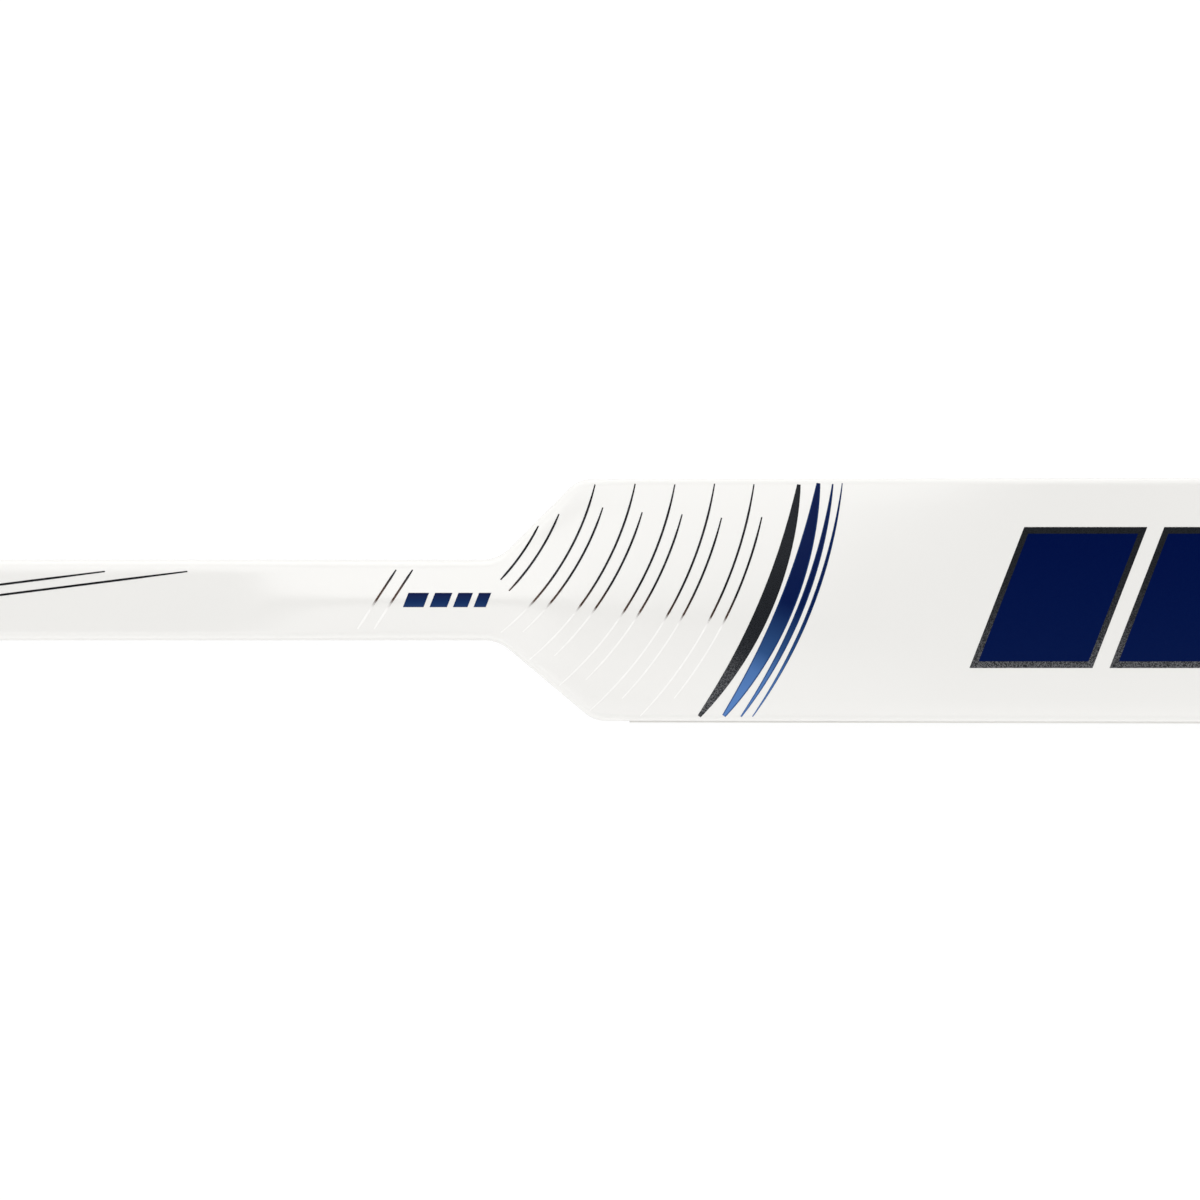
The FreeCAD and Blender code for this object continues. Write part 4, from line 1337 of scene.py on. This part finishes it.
def floor_material():
    """Pale floor that reads white in the picture and keeps the stick's soft shadow."""
    material = bpy.data.materials.new("studio_floor")
    material.use_nodes = True
    material.node_tree.nodes.clear()
    nodes = Nodes(material.node_tree)
    path = nodes.add("ShaderNodeLightPath").outputs
    mirrored = nodes.math("MAXIMUM", path["Is Glossy Ray"], path["Is Transmission Ray"])
    seen = nodes.math("MAXIMUM", path["Is Camera Ray"], mirrored)
    plain = nodes.value("BsdfDiffuse", {"Color": grey(FLOOR_GREY)})
    shadow = nodes.value("BsdfDiffuse", {"Color": grey(SEEN_GREY)})
    glow = nodes.value("Emission", {"Color": grey(1.0), "Strength": SEEN_GLOW})
    white = nodes.value("AddShader", {0: shadow, 1: glow})
    mixed = nodes.value("MixShader", {0: seen, 1: plain, 2: white})
    nodes.add("ShaderNodeOutputMaterial", {"Surface": mixed})
    return material


def studio_world():
    """Soft world that is darkest overhead and brighter lower down, to the sides and towards the butt."""
    world = bpy.data.worlds.new("studio_world")
    world.use_nodes = True
    world.node_tree.nodes.clear()
    nodes = Nodes(world.node_tree)
    axes = nodes.parts(nodes.value("TexCoord", result="Generated"))
    from_zenith = nodes.times(nodes.math("ARCCOSINE", axes[2]), 2 / math.pi)
    tones = nodes.ramp(from_zenith, [(place, grey(value)) for place, value in SKY_GREYS])
    sideways = nodes.times(nodes.times(axes[1], axes[1]), SKY_SIDES)
    lean = nodes.plus(nodes.times(axes[0], SKY_LEAN[0]), nodes.times(axes[1], SKY_LEAN[1]))
    strength = nodes.plus(nodes.plus(lean, 1.0), sideways)
    light = nodes.value("Background", {"Color": tones, "Strength": strength})
    nodes.add("ShaderNodeOutputWorld", {"Surface": light})
    return world


def strip_lamp(name, place, length, power):
    """Add a long soft lamp that shines straight down and isn't seen itself."""
    lamp = bpy.data.lights.new(name, "AREA")
    lamp.shape = "RECTANGLE"
    lamp.size = length
    lamp.size_y = LAMP_WIDTH
    lamp.energy = power
    holder = placed(name, lamp, place)
    holder.visible_camera = False


class STICK_OT_stage(bpy.types.Operator):
    """Lay the floor, set the lamps and aim the camera"""

    bl_idname = "stick.stage"
    bl_label = "Studio Stage"

    def execute(self, context):
        scene = context.scene
        stage = scene.stick_stage
        half = stage.floor_size / 2
        mesh = bpy.data.meshes.new("studio_floor")
        corners = [(x * half, y * half, FLOOR_Z) for x, y in ((-1, -1), (1, -1), (1, 1), (-1, 1))]
        mesh.from_pydata(corners, [], [(0, 1, 2, 3)])
        mesh.materials.append(floor_material())
        floor = placed("studio_floor", mesh)
        scene.world = studio_world()
        for name, setting, share, x, y, length in LAMPS:
            strip_lamp(name, (x, y, LAMP_HEIGHT), length, share * getattr(stage, setting))
        camera = bpy.data.cameras.new("picture_camera")
        camera.lens = stage.camera_lens
        camera.sensor_width = SENSOR_WIDTH
        camera.clip_end = CAMERA_REACH
        distance = stage.view_width * stage.camera_lens / SENSOR_WIDTH
        scene.camera = placed("picture_camera", camera, (stage.view_x, 0.0, THICKNESS + distance))
        scene.view_settings.view_transform = "Standard"
        return {"FINISHED"}


STEPS = (
    STICK_OT_shaft,
    STICK_OT_paddle_skins,
    STICK_OT_throat,
    STICK_OT_node_finishes,
    STICK_OT_stripes,
    STICK_OT_bands,
    STICK_OT_bars,
    STICK_OT_dashes,
    STICK_OT_stage,
)

GROUPS = {
    "stick_form": StickForm,
    "stick_print": StickPrint,
    "stick_finish": StickFinish,
    "stick_stage": StickStage,
}


class STICK_PT_panel(bpy.types.Panel):
    """Lists the steps that build the stick"""

    bl_idname = "STICK_PT_panel"
    bl_label = "Goalkeeper Stick"
    bl_space_type = "VIEW_3D"
    bl_region_type = "UI"
    bl_category = "Stick"

    def draw(self, context):
        column = self.layout.column()
        for step in STEPS:
            column.operator(step.bl_idname)
        for group in GROUPS:
            settings = getattr(context.scene, group)
            box = self.layout.box()
            for name in settings.bl_rna.properties.keys():
                if name not in ("rna_type", "name"):
                    box.prop(settings, name)


def register():
    """Register the settings, operators and panel."""
    for name, group in GROUPS.items():
        bpy.utils.register_class(group)
        setattr(bpy.types.Scene, name, PointerProperty(type=group))
    for step in STEPS:
        bpy.utils.register_class(step)
    bpy.utils.register_class(STICK_PT_panel)


def unregister():
    """Take the panel, operators and settings out again."""
    bpy.utils.unregister_class(STICK_PT_panel)
    for step in reversed(STEPS):
        bpy.utils.unregister_class(step)
    for name, group in GROUPS.items():
        delattr(bpy.types.Scene, name)
        bpy.utils.unregister_class(group)


def main():
    """Build the stick step by step."""
    register()
    bpy.ops.stick.shaft()
    bpy.ops.stick.paddle_skins()
    bpy.ops.stick.throat()
    bpy.ops.stick.node_finishes()
    bpy.ops.stick.stripes()
    bpy.ops.stick.bands()
    bpy.ops.stick.bars()
    bpy.ops.stick.dashes()
    bpy.ops.stick.stage()


if __name__ == "__main__":
    main()
